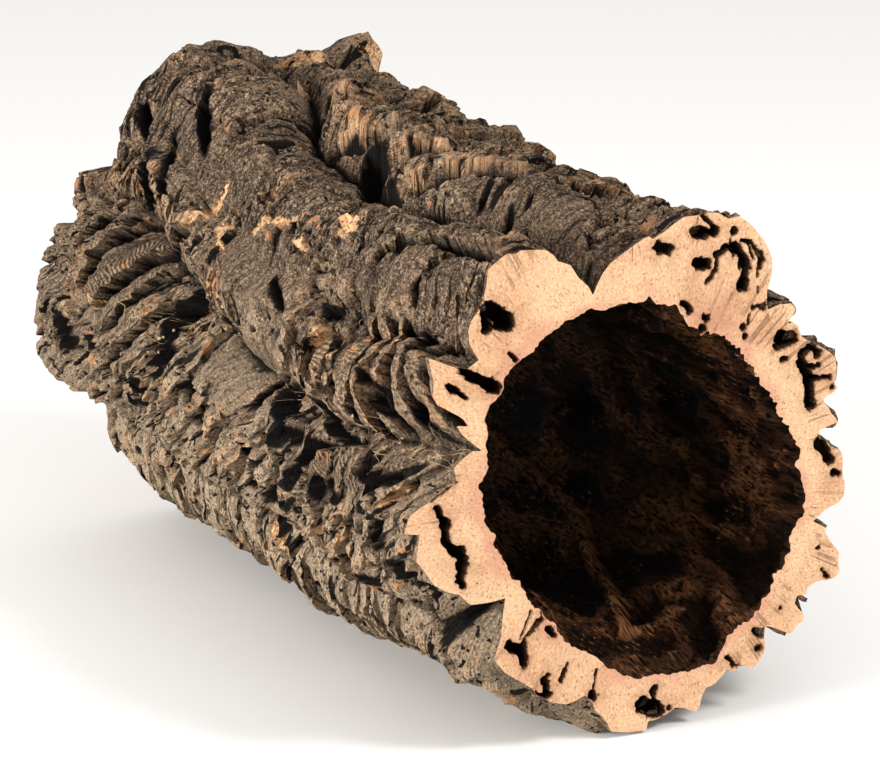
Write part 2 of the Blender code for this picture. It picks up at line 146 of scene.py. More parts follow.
# The bore's outline, slightly out of round, as angle and radius
BORE_OUTLINE = (
    (3, 61.6), (6, 60.8), (9, 58.8), (13, 57), (18, 56), (27, 55.5), (31, 55), (53, 56), (57, 55.3), (62, 55),
    (66, 54.2), (72, 55.7), (76, 58.8), (77.5, 61.5), (82, 60.5), (85, 61.2), (88, 63), (95, 62.7), (103, 62),
    (107, 64.4), (113, 64), (118, 65.3), (126, 64.4), (129, 63.6), (137, 65.8), (140, 65.3), (143, 63.3),
    (149, 65.5), (153, 65.3), (155.5, 62.6), (159, 61), (166, 58.2), (171.5, 60.7), (175, 59.2), (184, 58),
    (189, 55.7), (194, 56.3), (198, 53.8), (208, 53.7), (210.5, 52.2), (223, 52.3), (234, 52.2), (238, 55.2),
    (244, 56.8), (250, 58), (255.5, 60), (261, 62.8), (266, 65.7), (278, 68.2), (286, 71.4), (290, 72.5),
    (294, 73), (296, 72), (301, 69.1), (305.5, 68.8), (310, 69.5), (317, 68.3), (322, 67), (328, 67.4),
    (332, 66.2), (337, 64.5), (343, 66.3), (348, 64.3), (353, 63), (358, 61.5),
)

# The rim of the far end as angle and radius, with the knob on the skyline and the stub by the broad ridge
FAR_LOBES = (
    (8, 74), (28, 86), (44, 76), (51, 84), (55, 89), (57.5, 101), (62, 106), (66, 101), (69, 95), (72, 90),
    (76, 92), (80, 88), (86, 90), (93, 94), (97, 97), (110, 97), (119, 92), (128, 84), (132, 79), (136, 75),
    (139, 79), (141, 83), (144, 88), (148, 85), (152, 83), (154, 77), (156, 79), (158, 86), (165, 88),
    (178, 89), (188, 90), (193, 90), (200, 86), (203, 82), (206, 73), (214, 74), (230, 84), (247, 78),
    (262, 86), (277, 78), (288, 89), (308, 76), (326, 86), (344, 75), (357, 84),
)
FAR_REACH = 17.0
FAR_LEVEL = 7.0

# Holes in the bark as place along the tube, angle, half length, half width, slant and depth
BARK_HOLES = (
    (6, 107, 13, 6, 25, 16), (32, 114, 10, 5, 23, 12), (67, 146, 7.5, 3.5, 0, 10), (-36, 168, 14, 7, 104, 17),
    (51, 172.5, 9, 6, 50, 14), (-19, 141.5, 2.6, 2, 0, 7), (69, 182, 11, 3.5, 132, 9),
    (25, 187, 8, 2.5, 80, 7), (118, 157, 6, 2.5, 40, 6), (-123, 182, 6, 3.5, 80, 7), (-99, 181, 5, 3, 0, 5),
    (-71, 192, 4, 3, 20, 5), (-56, 186, 7, 2.5, 110, 6), (57, 199, 5, 4, 60, 7), (92, 184, 3.5, 3, 0, 6),
    (108, 205, 5, 5, 0, 5), (126, 187, 7, 3.4, 125, 10), (136, 197, 8, 4.5, 20, 10), (138, 212, 7, 4, 0, 7),
    (28, 203, 8, 4.5, 0, 9), (16, 214, 7, 4, 60, 8), (82, 104, 5, 1.6, 70, 5), (100, 106, 6, 1.6, 60, 4),
    (-125, 125, 12, 2.2, 31, 9), (-94, 138, 10, 2.4, 43, 10), (-88, 133, 12, 2.2, 51, 10),
    (-80, 121, 14, 2.8, 32, 11), (-34, 146, 4, 2.5, 60, 6), (116, 157, 6.5, 2.8, 80, 10),
    (83, 185, 3.5, 2.4, 80, 7), (114, 174, 5, 2.2, 110, 8), (101, 183, 6, 1.6, 125, 7),
    (121, 178, 10, 2.4, 132, 9), (68, 182, 9, 3, 110, 10), (83, 171, 9, 2.2, 46, 8), (88, 157, 4, 1.8, 85, 6),
    (104, 190, 4, 1.6, 120, 6), (133, 144, 6, 2.2, 50, 7), (146, 152, 6, 1.8, 55, 6),
    (138, 158, 6, 2.0, 40, 6), (32, 148, 9, 1.6, 25, 5), (-20, 318, 11, 7, 20, 11), (60, 20, 12, 6, 15, 11),
    (-70, 40, 10, 7, -20, 11), (85, 338, 9, 7, 0, 10), (-105, 352, 12, 6, 10, 10), (10, 262, 9, 5, 60, 8),
    (-60, 236, 8, 4, 40, 7),
)
HOLE_FOOT = 1.15
HOLE_FLOOR = 0.8

# How far from a hole, in its own half sizes, it is painted dark as its shade, and its lips begin to overhang
# and do so in full
HOLE_DARK = (1.38, 1.2)
HOLE_CLEAR = 2.4
HOLE_NEAR = 1.2
HOLE_FRAY = 1.3

# Knobs as place along the tube, angle, half length, half width, slant and height
KNOBS = (
    (-142, 107, 8, 9, 0, 3), (60, 119, 30, 14, 0, 3), (-95, 110, 40, 22, 0, 4), (-110, 163, 24, 12, 0, 2),
    (68, 109, 13, 7, 0, 5),
)
KNOB_FOOT = 1.2
KNOB_TOP = 0.4
GREEN_KNOB = 4
GREEN_EDGE = (1.3, 0.7)

# Slabs that are even apart from fine strata, as place along the tube, angle, half length, half width and
# slant, and the share of the breaks that they lack
EVEN_SLABS = (
    (103, 130, 40, 14, -12), (118, 156, 34, 22, 25), (-80, 162, 34, 14, -34), (-66, 174, 26, 9, -38),
    (18, 168, 30, 14, -20), (12, 145, 34, 14, 10), (-70, 128, 50, 12, 8), (98, 180, 22, 10, -20),
    (95, 101, 45, 11, 5),
)
EVENNESS = 0.75
EVEN_EDGE = (1.2, 0.8)
EVEN_LEDGES = 0.15

# Patches where the old bark has chipped off to light cork, as place, angle, half length, half width and slant
CHIPS = (
    (-44, 139, 9, 2, 100), (-24, 141, 7, 4, 75), (-5, 136, 4, 2.5, 95), (4, 132, 9, 2, -19),
    (25, 136, 3, 2, 0), (71, 153, 8, 3, 80), (94, 152, 6, 2.2, 85), (42, 127, 7, 3, 25),
    (-8, 194, 6, 2.5, 45), (134, 177, 6, 1.8, 133), (93, 195, 2.5, 1.8, 0), (70, 199, 3.2, 2.5, 0),
    (15, 218, 9, 3, 20), (-34, 115, 5.5, 1.5, -66), (-107, 88, 9, 3, 0), (-128, 79, 8, 4, -40),
    (-144, 57, 5, 6, 0), (-92, 169, 6, 2.5, 0), (-30, 330, 8, 4, 40), (40, 300, 5, 3, 10),
    (90, 20, 6, 2.5, 60), (-100, 270, 7, 3, 0), (30, 40, 5, 3, -30),
)
CHIP_DEPTH = 0.7
CHIP_EDGE = (1.15, 0.85)
CHIP_FRAY = 2.4

# Scales of bark that end in a sharp lip over a gap, on the left of the lip's path as it is gone along:
# the path as place along the tube and angle, the scale's width and height, the gap's depth,
# how ribbed it is, and how far its lip is worn to light cork and lit with a painted highlight
SCALES = (
    (((-115, 164), (-113, 157), (-112, 152), (-107, 148), (-102, 143)), 8, 3.5, 5, 0.3, 0),
    (((-101, 169), (-97, 161), (-92, 155), (-86, 149), (-76, 143)), 8, 4, 6, 0.5, 0),
    (((-92, 171.5), (-85, 167), (-77, 161), (-63, 152), (-53, 146.5), (-41, 143)), 10, 5, 7, 0.9, 0.2),
    (((-82, 176), (-74, 170), (-67, 163), (-56, 156), (-44, 152)), 6, 2, 4, 0.3, 0),
    (((-86, 183), (-75, 178), (-61, 172), (-52, 166), (-43, 162)), 13, 2.5, 6, 0, 0),
    (((24, 177), (29, 172), (37, 167), (51, 162)), 14, 1.5, 3.5, 0.2, 0.2),
    (((89, 174), (78, 170), (77, 164), (82, 158), (79, 149)), 8, 2.2, 4, 0.6, 0.2),
    (((96, 170), (98, 165), (102, 158), (101, 151), (98, 146), (97, 142)), 8, 3, 5, 0.3, 0.3),
    (((116, 168), (112, 164), (112, 159), (112, 151), (109, 146), (105, 141)), 8, 3.5, 5.5, 0.3, 0.5),
    (((127, 165), (121, 160), (120, 155), (119, 149), (115, 144), (111, 140)), 7, 3.2, 5.5, 0.3, 0.4),
    (((136, 161), (131, 157), (130, 152), (128, 146), (123, 140)), 7, 3, 5.5, 0.3, 0.2),
    (((147, 158), (142, 152), (141, 147), (136, 141)), 6, 2, 4, 0.4, 0),
    (((111, 171), (95, 173), (83, 176), (75, 180), (72, 185), (73, 192)), 16, 3.5, 5, 1, 0.1),
    (((127, 180), (132, 176), (139, 171)), 10, 1.5, 4, 0.5, 0),
    (((79, 135), (81, 129), (87, 126), (103, 123), (123, 122), (146, 121)), 14, 3, 5, 0.3, 0.2),
    (((110, 131), (113, 127), (118, 124), (129, 122), (143, 121)), 5, 1.5, 3.5, 0.5, 0),
    (((-30, 105), (-16, 100), (-3, 97), (9, 92)), 14, 3.5, 5, 0.3, 0.8),
    (((2, 109), (12, 105), (20, 100), (26, 95), (34, 90)), 14, 4, 5, 0.3, 1),
    (((38, 110), (42, 106), (50, 103), (60, 99), (76, 97), (88, 94)), 12, 4, 6, 0.2, 1),
    (((-64, 100), (-52, 94), (-44, 87), (-38, 80)), 16, 3.5, 5, 0.3, 0.7),
    (((-98, 96), (-88, 90), (-80, 83), (-76, 76)), 16, 3, 4, 0.3, 0.6),
    (((-74, 82), (-72, 74), (-74, 66), (-80, 58), (-86, 50)), 20, 4, 5, 0.2, 0.5),
    (((-20, 82), (-18, 74), (-20, 66), (-26, 58), (-32, 50)), 22, 4, 6, 0.2, 0.6),
    (((8, 82), (10, 74), (8, 66), (2, 58), (-4, 50)), 16, 3.5, 5, 0.2, 0.5),
    (((62, 82), (66, 74), (64, 66), (58, 58), (50, 50)), 22, 4, 6, 0.2, 0.8),
    (((104, 80), (106, 73), (104, 66), (98, 58)), 16, 2.5, 4, 0.2, 0.3),
)

# How far a scale's lip overhangs, is worn to cork with a painted highlight, fades at its ends and frays, how
# far behind it the overhang begins and is full, how wide the gap is, how far past the path the scale reaches,
# and how far apart its ribs are
LIP_OVERHANG = 3.0
LIP_WORN_AND_LIT = 2.2
LIP_ENDS = 5
LIP_REACH = (-5, -0.5)
LIP_FRAY = 4.5
GAP_WIDTH = 4.5
SCALE_REACH = (25, 20)
RIB_PITCH = 1.7

# Growth ledges across the ridges: spacing and height of the large and the small ones,
# how far they bend toward the mouth beside a crest, and how far their lips overhang
LEDGE_SPACING = 19.0
LEDGE_HEIGHT = 4.5
LEDGE_BEND = 9.0
LEDGE_EDGE = 0.72
LEDGE_OVERHANG = 6.5
LEDGE_MIDDLE = 0.6
LEDGE_SHIFT = 0.37
LEDGE_SLANT = 0.25
LEDGE_TURN = 2.4
LEDGE_WARPS = ((30.0, 8.0, 1), (9.0, 1.6, 5))
LEDGE_STRENGTH = 0.65
LEDGE_UNEVENNESS = ((40.0, 0.6, 2),)
FURROW_SHUT = 0.7
SCALY_HEIGHT = 6.0
SCALY_SLANTS = ((-90, -2.3), (80, -0.8))
SCALY_MIDDLE = 176.0
SHELLS_PER_LEDGE = 3
SHELL_HEIGHT = 3.0
SHELL_EDGE = 0.76
SHELL_OVERHANG = 2.6
SHELL_STRAY = ((11.0, 0.45, 3),)
SHELL_SHARE = 0.5
SHELL_PATCHES = ((26.0, 1.1, 4),)

# Broken plates of bark, as size, height and stretch across the tube, and the cracks between the large ones;
# how far a plate's middle strays, how much it stands out and how much it tilts
PLATE_STRAY = 0.42
PLATE_STEP = 0.6
PLATE_TILT = 0.8
PLATE_SIZE = 19.0
PLATE_STRETCH = 1.5
PLATE_HEIGHT = 2.8
PLATE_WARP = 4.0
PLATE_CRACK = 2.6
CRACK_EDGE = (1.5, 0.3)
CRACK_SHARE = 0.6
CRACK_PATCHES = ((24.0, 0.9, 34),)
FLAKE_SIZE = 8.0
FLAKE_STRETCH = 2.2
FLAKE_HEIGHT = 1.3
FLAKE_WARP = 2.0

# Small pits as spacing, count round the tube, half size, share of places that have one, seed and depth,
# and how far each one strays, slants and differs in size
PIT_STRAY = 0.4
PIT_SLANT = 0.35
PIT_SIZES = (0.85, 0.4)
CRACKS = (13.0, 30, (1.2, 6.0), 0.6, 60), 4.5
SLOTS = (17.0, 26, (2.1, 7.0), 0.75, 66), 8.0
PITS = (7.5, 72, (1.5, 1.7), 0.4, 72), 3.0
LOW_PITS = (8.5, 64, (1.9, 2.4), 0.5, 78), 3.6

# The calm side of the tube where the bark is least broken, the low flank where it is finer, the shares of
# ledges, bends, small breaks and flakes that they lack, and the ridges whose ledges stand out most
CALM_SIDE = 122.0
CALM_REACH = (36, 18)
LOW_FLANK_START = (190, 215)
LOW_FLANK_END = (360, 330)
CALM_LEDGES = 0.35
CALM_BENDS = 0.6
CALM_BREAKS = 0.4
LOW_BREAKS = 0.35
LOW_FLAKES = 0.7
BOLD_RIDGES = ("skyline ridge", "crown ridge")
BOLDNESS = 1.5

# Lumps of every size as spacing and height, and strata that follow the ledges as spacing, height and
# stretch round the tube
LUMP_SIZES = ((34.0, 2.2), (15.0, 1.6), (8.0, 0.9), (4.2, 0.55), (2.6, 0.3))
STRATA = ((3.4, 0.9, 0.25), (1.8, 0.45, 0.3))

# How edges fray, as the size, amount and seed of the notches in holes, slabs, chips and lips
FRAYS = ((5.0, 0.28, 95), (2.4, 0.18, 96))
SEED = 5
SHUFFLE = (127.1, 311.7, 74.7)
SHUFFLE_STEP = 17.3
SHUFFLE_SPREAD = 43758.5453


def smooth_step(low, high, value):
    share = np.clip((value - low) / (high - low), 0, 1)
    return share * share * (3 - 2 * share)


def turn_between(angle, other):
    """The signed turn from one angle to another in degrees, the short way round."""
    return (np.asarray(angle) - other + 180) % 360 - 180


def random_at(cell, seed):
    """A repeatable number from -1 to 1 for each whole-number cell."""
    mixed = np.sin(cell @ np.array(SHUFFLE) + seed * SHUFFLE_STEP) * SHUFFLE_SPREAD
    return 2 * (mixed - np.floor(mixed)) - 1


def lumps(points, size, seed):
    """Soft lumps from -1 to 1, with the given distance between them."""
    low = np.floor(points / size)
    share = points / size - low
    share = share * share * (3 - 2 * share)
    total = np.zeros(len(points))
    for corner in np.ndindex(2, 2, 2):
        weight = np.prod(np.where(np.array(corner) == 1, share, 1 - share), axis=1)
        total += weight * random_at(low + corner, seed)
    return total


def layered(points, layers):
    """Soft lumps of several sizes together, each given as its size, height and seed."""
    return sum(height * lumps(points, size, SEED + seed) for size, height, seed in layers)


def plates(points, size, seed):
    """Height from about -1 to 1 of broken plates, a little tilted, and the distance to the nearest break."""
    place = points / size
    low = np.floor(place)
    nearest = np.full(len(points), 9.0)
    second = nearest.copy()
    cell = low.copy()
    offset = np.zeros_like(low)
    for step in np.ndindex(3, 3, 3):
        here = low + np.array(step) - 1
        jitter = np.stack([random_at(here, seed + axis) for axis in range(3)], axis=1)
        away = place - (here + 0.5 + PLATE_STRAY * jitter)
        distance = np.linalg.norm(away, axis=1)
        closer = distance < nearest
        second = np.where(closer, nearest, np.minimum(second, distance))
        nearest = np.where(closer, distance, nearest)
        cell[closer] = here[closer]
        offset[closer] = away[closer]
    tilt = np.stack([random_at(cell, seed + 3 + axis) for axis in range(3)], axis=1)
    height = PLATE_STEP * random_at(cell, seed + 6) + PLATE_TILT * np.sum(offset * tilt, axis=1)
    return height, (second - nearest) * size


def scattered_pits(along, angle, kind):
    """From 0 outside to the pits' depth inside pits of one kind, scattered over the bark."""
    (spacing, around_count, half_size, chance, seed), depth = kind
    seed += SEED
    arc = 2 * np.pi * PLAIN_OUTER / around_count
    place = np.stack((along / spacing, angle * around_count / 360), axis=1)
    low = np.floor(place)
    total = np.zeros(len(place))
    for step in np.ndindex(3, 3):
        cell = low + np.array(step) - 1
        seen = np.column_stack((cell[:, 0], cell[:, 1] % around_count, np.zeros(len(cell))))
        jitter = np.stack((random_at(seen, seed), random_at(seen, seed + 1)), axis=1)
        away = (place - cell - 0.5 - PIT_STRAY * jitter) * (spacing, arc)
        slant = PIT_SLANT * random_at(seen, seed + 2)
        size = PIT_SIZES[0] + PIT_SIZES[1] * random_at(seen, seed + 3)
        lengthways = (away[:, 0] - slant * away[:, 1]) / half_size[0]
        distance = np.hypot(lengthways, away[:, 1] / half_size[1]) / size
        there = random_at(seen, seed + 4) < 2 * chance - 1
        total = np.maximum(total, np.where(there, smooth_step(1.0, 0.5, distance), 0))
    return depth * total


def on_cylinder(along, angle, radius):
    turn = np.radians(angle)
    return np.stack((along, radius * np.cos(turn), radius * np.sin(turn)), axis=-1)


def lines_at(along, values):
    """Each line's value at every place along the tube, read between the stations."""
    order = np.argsort(STATIONS)
    places = np.array(STATIONS, float)[order]
    return np.stack([np.interp(along, places, np.array(row, float)[order]) for row in values], axis=1)


def ridges(along, angle):
    """The ridges' radius, distance from crest (0) to furrow (1), number, and degrees from the crest."""
    wander = layered(on_cylinder(along, angle, PLAIN_OUTER), WANDERS)
    angles = lines_at(along, [row[1] for row in LINES])
    radii = lines_at(along, [row[2] for row in LINES])
    angles = np.hstack((angles, angles[:, :1] + 360))
    radii = np.hstack((radii, radii[:, :1]))
    angle = angle + wander * smooth_step(MOUTH_X, MOUTH_X - LOBE_REACH, along)
    angle = np.where(angle < angles[:, 0], angle + 360, angle)
    angle = np.where(angle >= angles[:, -1], angle - 360, angle)
    line = np.clip((angle[:, None] >= angles[:, 1:]).sum(axis=1), 0, len(LINES) - 1)
    here = np.arange(len(angle))
    start, end = angles[here, line], angles[here, line + 1]
    share = (angle - start) / (end - start)
    climbing = line % 2 == 0
    aside = np.where(climbing, 1 - share, share)
    crest = np.where(climbing, radii[here, line + 1], radii[here, line])
    floor = np.where(climbing, radii[here, line], radii[here, line + 1])
    rise = np.cos(np.pi / 2 * aside) ** CREST_ROUNDNESS
    crest_angle = np.where(climbing, end, start)
    return floor + (crest - floor) * rise, aside, line // 2, turn_between(angle, crest_angle)


def teeth(place, edge):
    """A row of teeth from 0 to 1, rising slowly to the edge and dropping steeply after it."""
    tooth = place - np.floor(place)
    return np.where(tooth < edge, tooth / edge, (1 - tooth) / (1 - edge))


def distances(along, angle, rows):
    """For each row of place, angle, half length, half width and slant: how far it is, in its own size."""
    for place, at, half_length, half_width, slant, *_ in rows:
        ahead = along - place
        aside = np.radians(turn_between(angle, at)) * PLAIN_OUTER
        cos, sin = np.cos(np.radians(slant)), np.sin(np.radians(slant))
        yield np.hypot((ahead * cos + aside * sin) / half_length, (aside * cos - ahead * sin) / half_width)


def to_nearest(along, angle, rows):
    return np.min(list(distances(along, angle, rows)), axis=0)


def bumps(along, angle, rows, foot, top, ragged):
    """The knobs or holes, level out to the top's share of each one's size and gone at its foot."""
    total = np.zeros(len(along))
    for row, distance in zip(rows, distances(along, angle, rows)):
        total = np.maximum(total, row[-1] * smooth_step(foot, top, distance + ragged))
    return total


def beside_lip(flat, lip):
    """How far each point is past a lip and along it, how much the lip faces the mouth, and its length."""
    closest = np.full(len(flat), 99.0)
    beyond, gone, ahead = np.zeros(len(flat)), np.zeros(len(flat)), np.zeros(len(flat))
    start = 0.0
    for first, last in zip(lip, lip[1:]):
        run = last - first
        length = np.hypot(*run)
        share = np.clip((flat - first) @ run / length**2, 0, 1)
        away = flat - first - share[:, None] * run
        distance = np.hypot(away[:, 0], away[:, 1])
        closer = distance < closest
        side = np.sign(run[0] * away[:, 1] - run[1] * away[:, 0])
        beyond = np.where(closer, side * distance, beyond)
        gone = np.where(closer, start + share * length, gone)
        ahead = np.where(closer, max(0, -run[1] / length), ahead)
        closest = np.minimum(closest, distance)
        start += length
    return beyond, gone, ahead, start


def scales(along, angle, uneven):
    """The scales' relief, their lips' reach and their wear with its painted highlight, how ribbed they are,
    and the place along their ribs.
    """
    relief, reach, worn_and_lit, ribbed, rib_place = (np.zeros(len(along)) for _ in range(5))
    for path, width, height, gap, ribs, wear_and_highlight in SCALES:
        places = np.array(path, float)
        low, high = places.min(axis=0) - SCALE_REACH, places.max(axis=0) + SCALE_REACH
        near = (along > low[0]) & (along < high[0]) & (angle > low[1]) & (angle < high[1])
        flat = np.stack((along[near], np.radians(angle[near]) * PLAIN_OUTER), axis=1)
        lip = np.stack((places[:, 0], np.radians(places[:, 1]) * PLAIN_OUTER), axis=1)
        beyond, gone, ahead, length = beside_lip(flat, lip)
        beyond = beyond + uneven[near]
        ends = smooth_step(0, LIP_ENDS, gone) * smooth_step(length, length - LIP_ENDS, gone)
        body = smooth_step(-width, -0.2 * width, beyond) * (beyond < 0)
        hollow = smooth_step(0, 0.6, beyond) * smooth_step(GAP_WIDTH, 1.2, beyond)
        relief[near] += ends * (height * body - gap * hollow)
        lip_reach = ends * ahead * smooth_step(*LIP_REACH, beyond) * (beyond < 0)
        reach[near] = np.maximum(reach[near], LIP_OVERHANG * lip_reach)
        on_lip = smooth_step(-LIP_WORN_AND_LIT - 1, 0.5 - LIP_WORN_AND_LIT, beyond) * (beyond < 0.4)
        worn_and_lit[near] = np.maximum(worn_and_lit[near], wear_and_highlight * ends * on_lip)
        on_scale = ribs * ends * smooth_step(-width, -0.8 * width, beyond) * (beyond < 0.3)
        stronger = on_scale > ribbed[near]
        ribbed[near] = np.where(stronger, on_scale, ribbed[near])
        rib_place[near] = np.where(stronger, gone, rib_place[near])
    return relief, reach, worn_and_lit, ribbed, rib_place


def rim_radius(angle, rim):
    return np.interp(angle % 360, [row[0] for row in rim], [row[1] for row in rim], period=360)


def led_to_rims(along, angle, radius):
    """The ridges' radius, led into the mouth's lobes and ragged edge and into the far end's rim."""
    lobes = rim_radius(angle, RIM_LOBES)
    radius = radius + (lobes - radius) * smooth_step(MOUTH_X - LOBE_REACH, MOUTH_X, along)
    far = smooth_step(FAR_REACH - MOUTH_X, FAR_LEVEL - MOUTH_X, along)
    radius = radius + (rim_radius(angle, FAR_LOBES) - radius) * far
    ragged = rim_radius(angle, RAGGED_RIM) - lobes
    return radius + ragged * smooth_step(MOUTH_X - RAGGED_REACH, MOUTH_X, along)


def on_ridges(names):
    """The numbers of the ridges with these names."""
    return [[row[0] for row in LINES[1::2]].index(name) for name in names]


def across_ledges(along, angle, around, calm, aside, ridge, from_crest):
    """The place across the growth ledges, which slant, bend round each crest and stray."""
    scaly = np.isin(ridge, on_ridges(["scaly ridge"]))
    slant = np.where(scaly, np.interp(along, *zip(*SCALY_SLANTS)), LEDGE_SLANT * np.cos(ridge * LEDGE_TURN))
    aslant = slant * np.where(scaly, angle - SCALY_MIDDLE, from_crest)
    bend = np.where(scaly, 0, LEDGE_BEND * (1 - CALM_BENDS * calm))
    return along - aslant - bend * aside**2 + layered(around, LEDGE_WARPS)


def ledge_relief(around, across, calm, broken, open_side, ridge):
    """The large growth ledges' relief, their lips' reach, and the place in ledges."""
    place = across / LEDGE_SPACING + ridge * LEDGE_SHIFT
    strength = LEDGE_STRENGTH + layered(around, LEDGE_UNEVENNESS)
    strength *= 1 - CALM_LEDGES * calm
    kept = EVEN_LEDGES + (1 - EVEN_LEDGES) * broken
    strength *= kept * np.where(np.isin(ridge, on_ridges(BOLD_RIDGES)), BOLDNESS, 1)
    ledge = teeth(place, LEDGE_EDGE)
    height = np.where(np.isin(ridge, on_ridges(["scaly ridge"])), SCALY_HEIGHT, LEDGE_HEIGHT)
    relief = height * strength * open_side * (ledge - LEDGE_MIDDLE)
    reach = LEDGE_OVERHANG * np.clip(strength, 0, 1) * open_side * ledge**2
    return relief, reach, place


def shell_relief(around, place, rugged, open_side):
    """The small shells between the ledges, and their lips' reach."""
    shell = teeth(SHELLS_PER_LEDGE * place + layered(around, SHELL_STRAY), SHELL_EDGE)
    shelly = np.clip(SHELL_SHARE + layered(around, SHELL_PATCHES), 0, 1) * open_side
    return SHELL_HEIGHT * rugged * shelly * (shell - 0.5), SHELL_OVERHANG * shelly * shell**2


def broken_relief(relief, around, across, broken, low_flank):
    """The relief with lumps, strata, broken plates with cracks between them, and flakes added."""
    for number, (size, height) in enumerate(LUMP_SIZES):
        relief = relief + height * lumps(around, size, SEED + 10 + number)
    for number, (spacing, height, stretch) in enumerate(STRATA):
        strata = np.stack((across, stretch * around[:, 1], stretch * around[:, 2]), axis=1)
        relief = relief + height * lumps(strata, spacing, SEED + 14 + number)
    cells = around * (PLATE_STRETCH, 1, 1) + PLATE_WARP * lumps(around, PLATE_SIZE, SEED + 30)[:, None]
    height, to_break = plates(cells, PLATE_SIZE, SEED + 40)
    cracked = smooth_step(*CRACK_EDGE, to_break) * np.clip(CRACK_SHARE + layered(around, CRACK_PATCHES), 0, 1)
    relief = relief + (PLATE_HEIGHT * height - PLATE_CRACK * cracked) * broken
    flakes = around * (FLAKE_STRETCH, 1, 1) + FLAKE_WARP * lumps(around, FLAKE_SIZE, SEED + 31)[:, None]
    height, _ = plates(flakes, FLAKE_SIZE, SEED + 50)
    return relief + FLAKE_HEIGHT * height * broken * (1 - LOW_FLAKES * low_flank)


def pit_depth(along, angle, across, rugged, broken, low_flank):
    """How deep the small cracks, slots and pits are."""
    return np.maximum.reduce(
        (
            scattered_pits(across, angle, CRACKS) * rugged,
            scattered_pits(across, angle, SLOTS) * broken,
            scattered_pits(along, angle, PITS) * rugged,
            scattered_pits(along, angle, LOW_PITS) * low_flank,
        )
    )


def bark_relief(along, angle):
    """The bark's radius, its lips' reach, and the marks that colour it."""
    around = on_cylinder(along, angle, PLAIN_OUTER)
    radius, aside, ridge, from_crest = ridges(along, angle)
    radius = led_to_rims(along, angle, radius)
    frayed = layered(around, FRAYS)
    even = smooth_step(*EVEN_EDGE, to_nearest(along, angle, EVEN_SLABS) + frayed)
    broken = 1 - EVENNESS * even
    calm = smooth_step(*CALM_REACH, np.abs(turn_between(angle, CALM_SIDE)))
    low_flank = smooth_step(*LOW_FLANK_START, angle) * smooth_step(*LOW_FLANK_END, angle)
    rugged = (1 - CALM_BREAKS * calm) * (1 - LOW_BREAKS * low_flank) * broken

    across = across_ledges(along, angle, around, calm, aside, ridge, from_crest)
    open_side = 1 - FURROW_SHUT * aside**3
    relief, reach, place = ledge_relief(around, across, calm, broken, open_side, ridge)
    shells, shell_reach = shell_relief(around, place, rugged, open_side)
    relief = broken_relief(relief + shells, around, across, broken, low_flank)
    pitted = pit_depth(along, angle, across, rugged, broken, low_flank)
    holes = bumps(along, angle, BARK_HOLES, HOLE_FOOT, HOLE_FLOOR, HOLE_FRAY * frayed)
    to_hole = to_nearest(along, angle, BARK_HOLES)
    scale_relief, scale_reach, worn_and_lit, ribbed, rib_place = scales(along, angle, LIP_FRAY * frayed)
    chip = smooth_step(*CHIP_EDGE, to_nearest(along, angle, CHIPS) + CHIP_FRAY * frayed)
    relief = relief - pitted + scale_relief - CHIP_DEPTH * chip

    fade = smooth_step(MOUTH_X, MOUTH_X - RELIEF_REACH, along)
    far_fade = smooth_step(-MOUTH_X, -MOUTH_X + FAR_RELIEF_REACH, along)
    relief = relief * (FAR_RELIEF + (1 - FAR_RELIEF) * far_fade)
    by_hole = smooth_step(HOLE_CLEAR, HOLE_NEAR, to_hole)
    to_green_knob = to_nearest(along, angle, [KNOBS[GREEN_KNOB]])
    knobs = bumps(along, angle, KNOBS, KNOB_FOOT, KNOB_TOP, 0)
    return {
        "radius": radius + (relief * fade + knobs - holes),
        "reach": (reach + shell_reach + scale_reach) * fade * far_fade * (1 - by_hole),
        "across": across,
        "pitted": pitted * fade + holes,
        # Painted shade inside the holes
        "hole_shade": smooth_step(*HOLE_DARK, to_hole + HOLE_FRAY * frayed),
        "chip": chip,
        "worn_and_lit": worn_and_lit * fade,
        "ribbed": ribbed * fade,
        "rib_place": rib_place,
        "green": smooth_step(*GREEN_EDGE, to_green_knob + frayed),
        "even": even,
    }


def blurred(grid, reach):
    """The grid's values evened out over a distance, round the tube without a seam."""
    padded = np.concatenate((grid[::-1], grid, grid[::-1]))
    along_waves = np.fft.fftfreq(len(padded), ALONG_STEP)[:, None]
    around_waves = np.fft.rfftfreq(AROUND_STEPS, 2 * np.pi * PLAIN_OUTER / AROUND_STEPS)[None]
    kept = np.exp(-2 * (np.pi * reach) ** 2 * (along_waves**2 + around_waves**2))
    smooth = np.fft.irfft2(np.fft.rfft2(padded) * kept, s=padded.shape)
    return smooth[len(grid) : 2 * len(grid)]


# Veins that stand out in the bore, as paths of place along the tube and angle
BORE_VEINS = (
    ((95, 262), (70, 266), (52, 274), (30, 280), (5, 292)),
    ((90, 270), (72, 272), (52, 274)),
    ((60, 300), (30, 312), (-10, 316), (-50, 322)),
    ((-20, 255), (-55, 262), (-90, 258)),
    ((110, 285), (80, 296), (60, 300)),
)
VEIN_HEIGHT = 4.5
VEIN_EDGE = (3.2, 0.5)

# The bore's long fibres, as spacing, height and seed, their stretch along the tube, and how they stray
BORE_FIBRES = ((13.0, 5.0, 23), (6.0, 2.4, 24))
BORE_FIBRE_STRETCH = 0.35
BORE_BENDS = ((24.0, 7.0, 22),)
FIBRE_MIDDLE = 0.3
STANDS_OUT = (-0.2, 1.6)
LIES_BACK = (-0.8, -2.6)
BORE_LUMPS = ((40.0, 1.2, 20), (15.0, 0.5, 21))

# The rough fringe of the bore by the mouth, where it starts and is full, and the side that is torn most
BORE_FRINGE = ((2.6, 1.6, 25), (1.2, 0.9, 26))
FRINGE_REACH = (35, 2)
TORN_SIDE = 0.0
TORN_HALF = 75
TORN_FADE = (95, 20)
FRINGE_ELSEWHERE = 0.5
BORE_START = 5


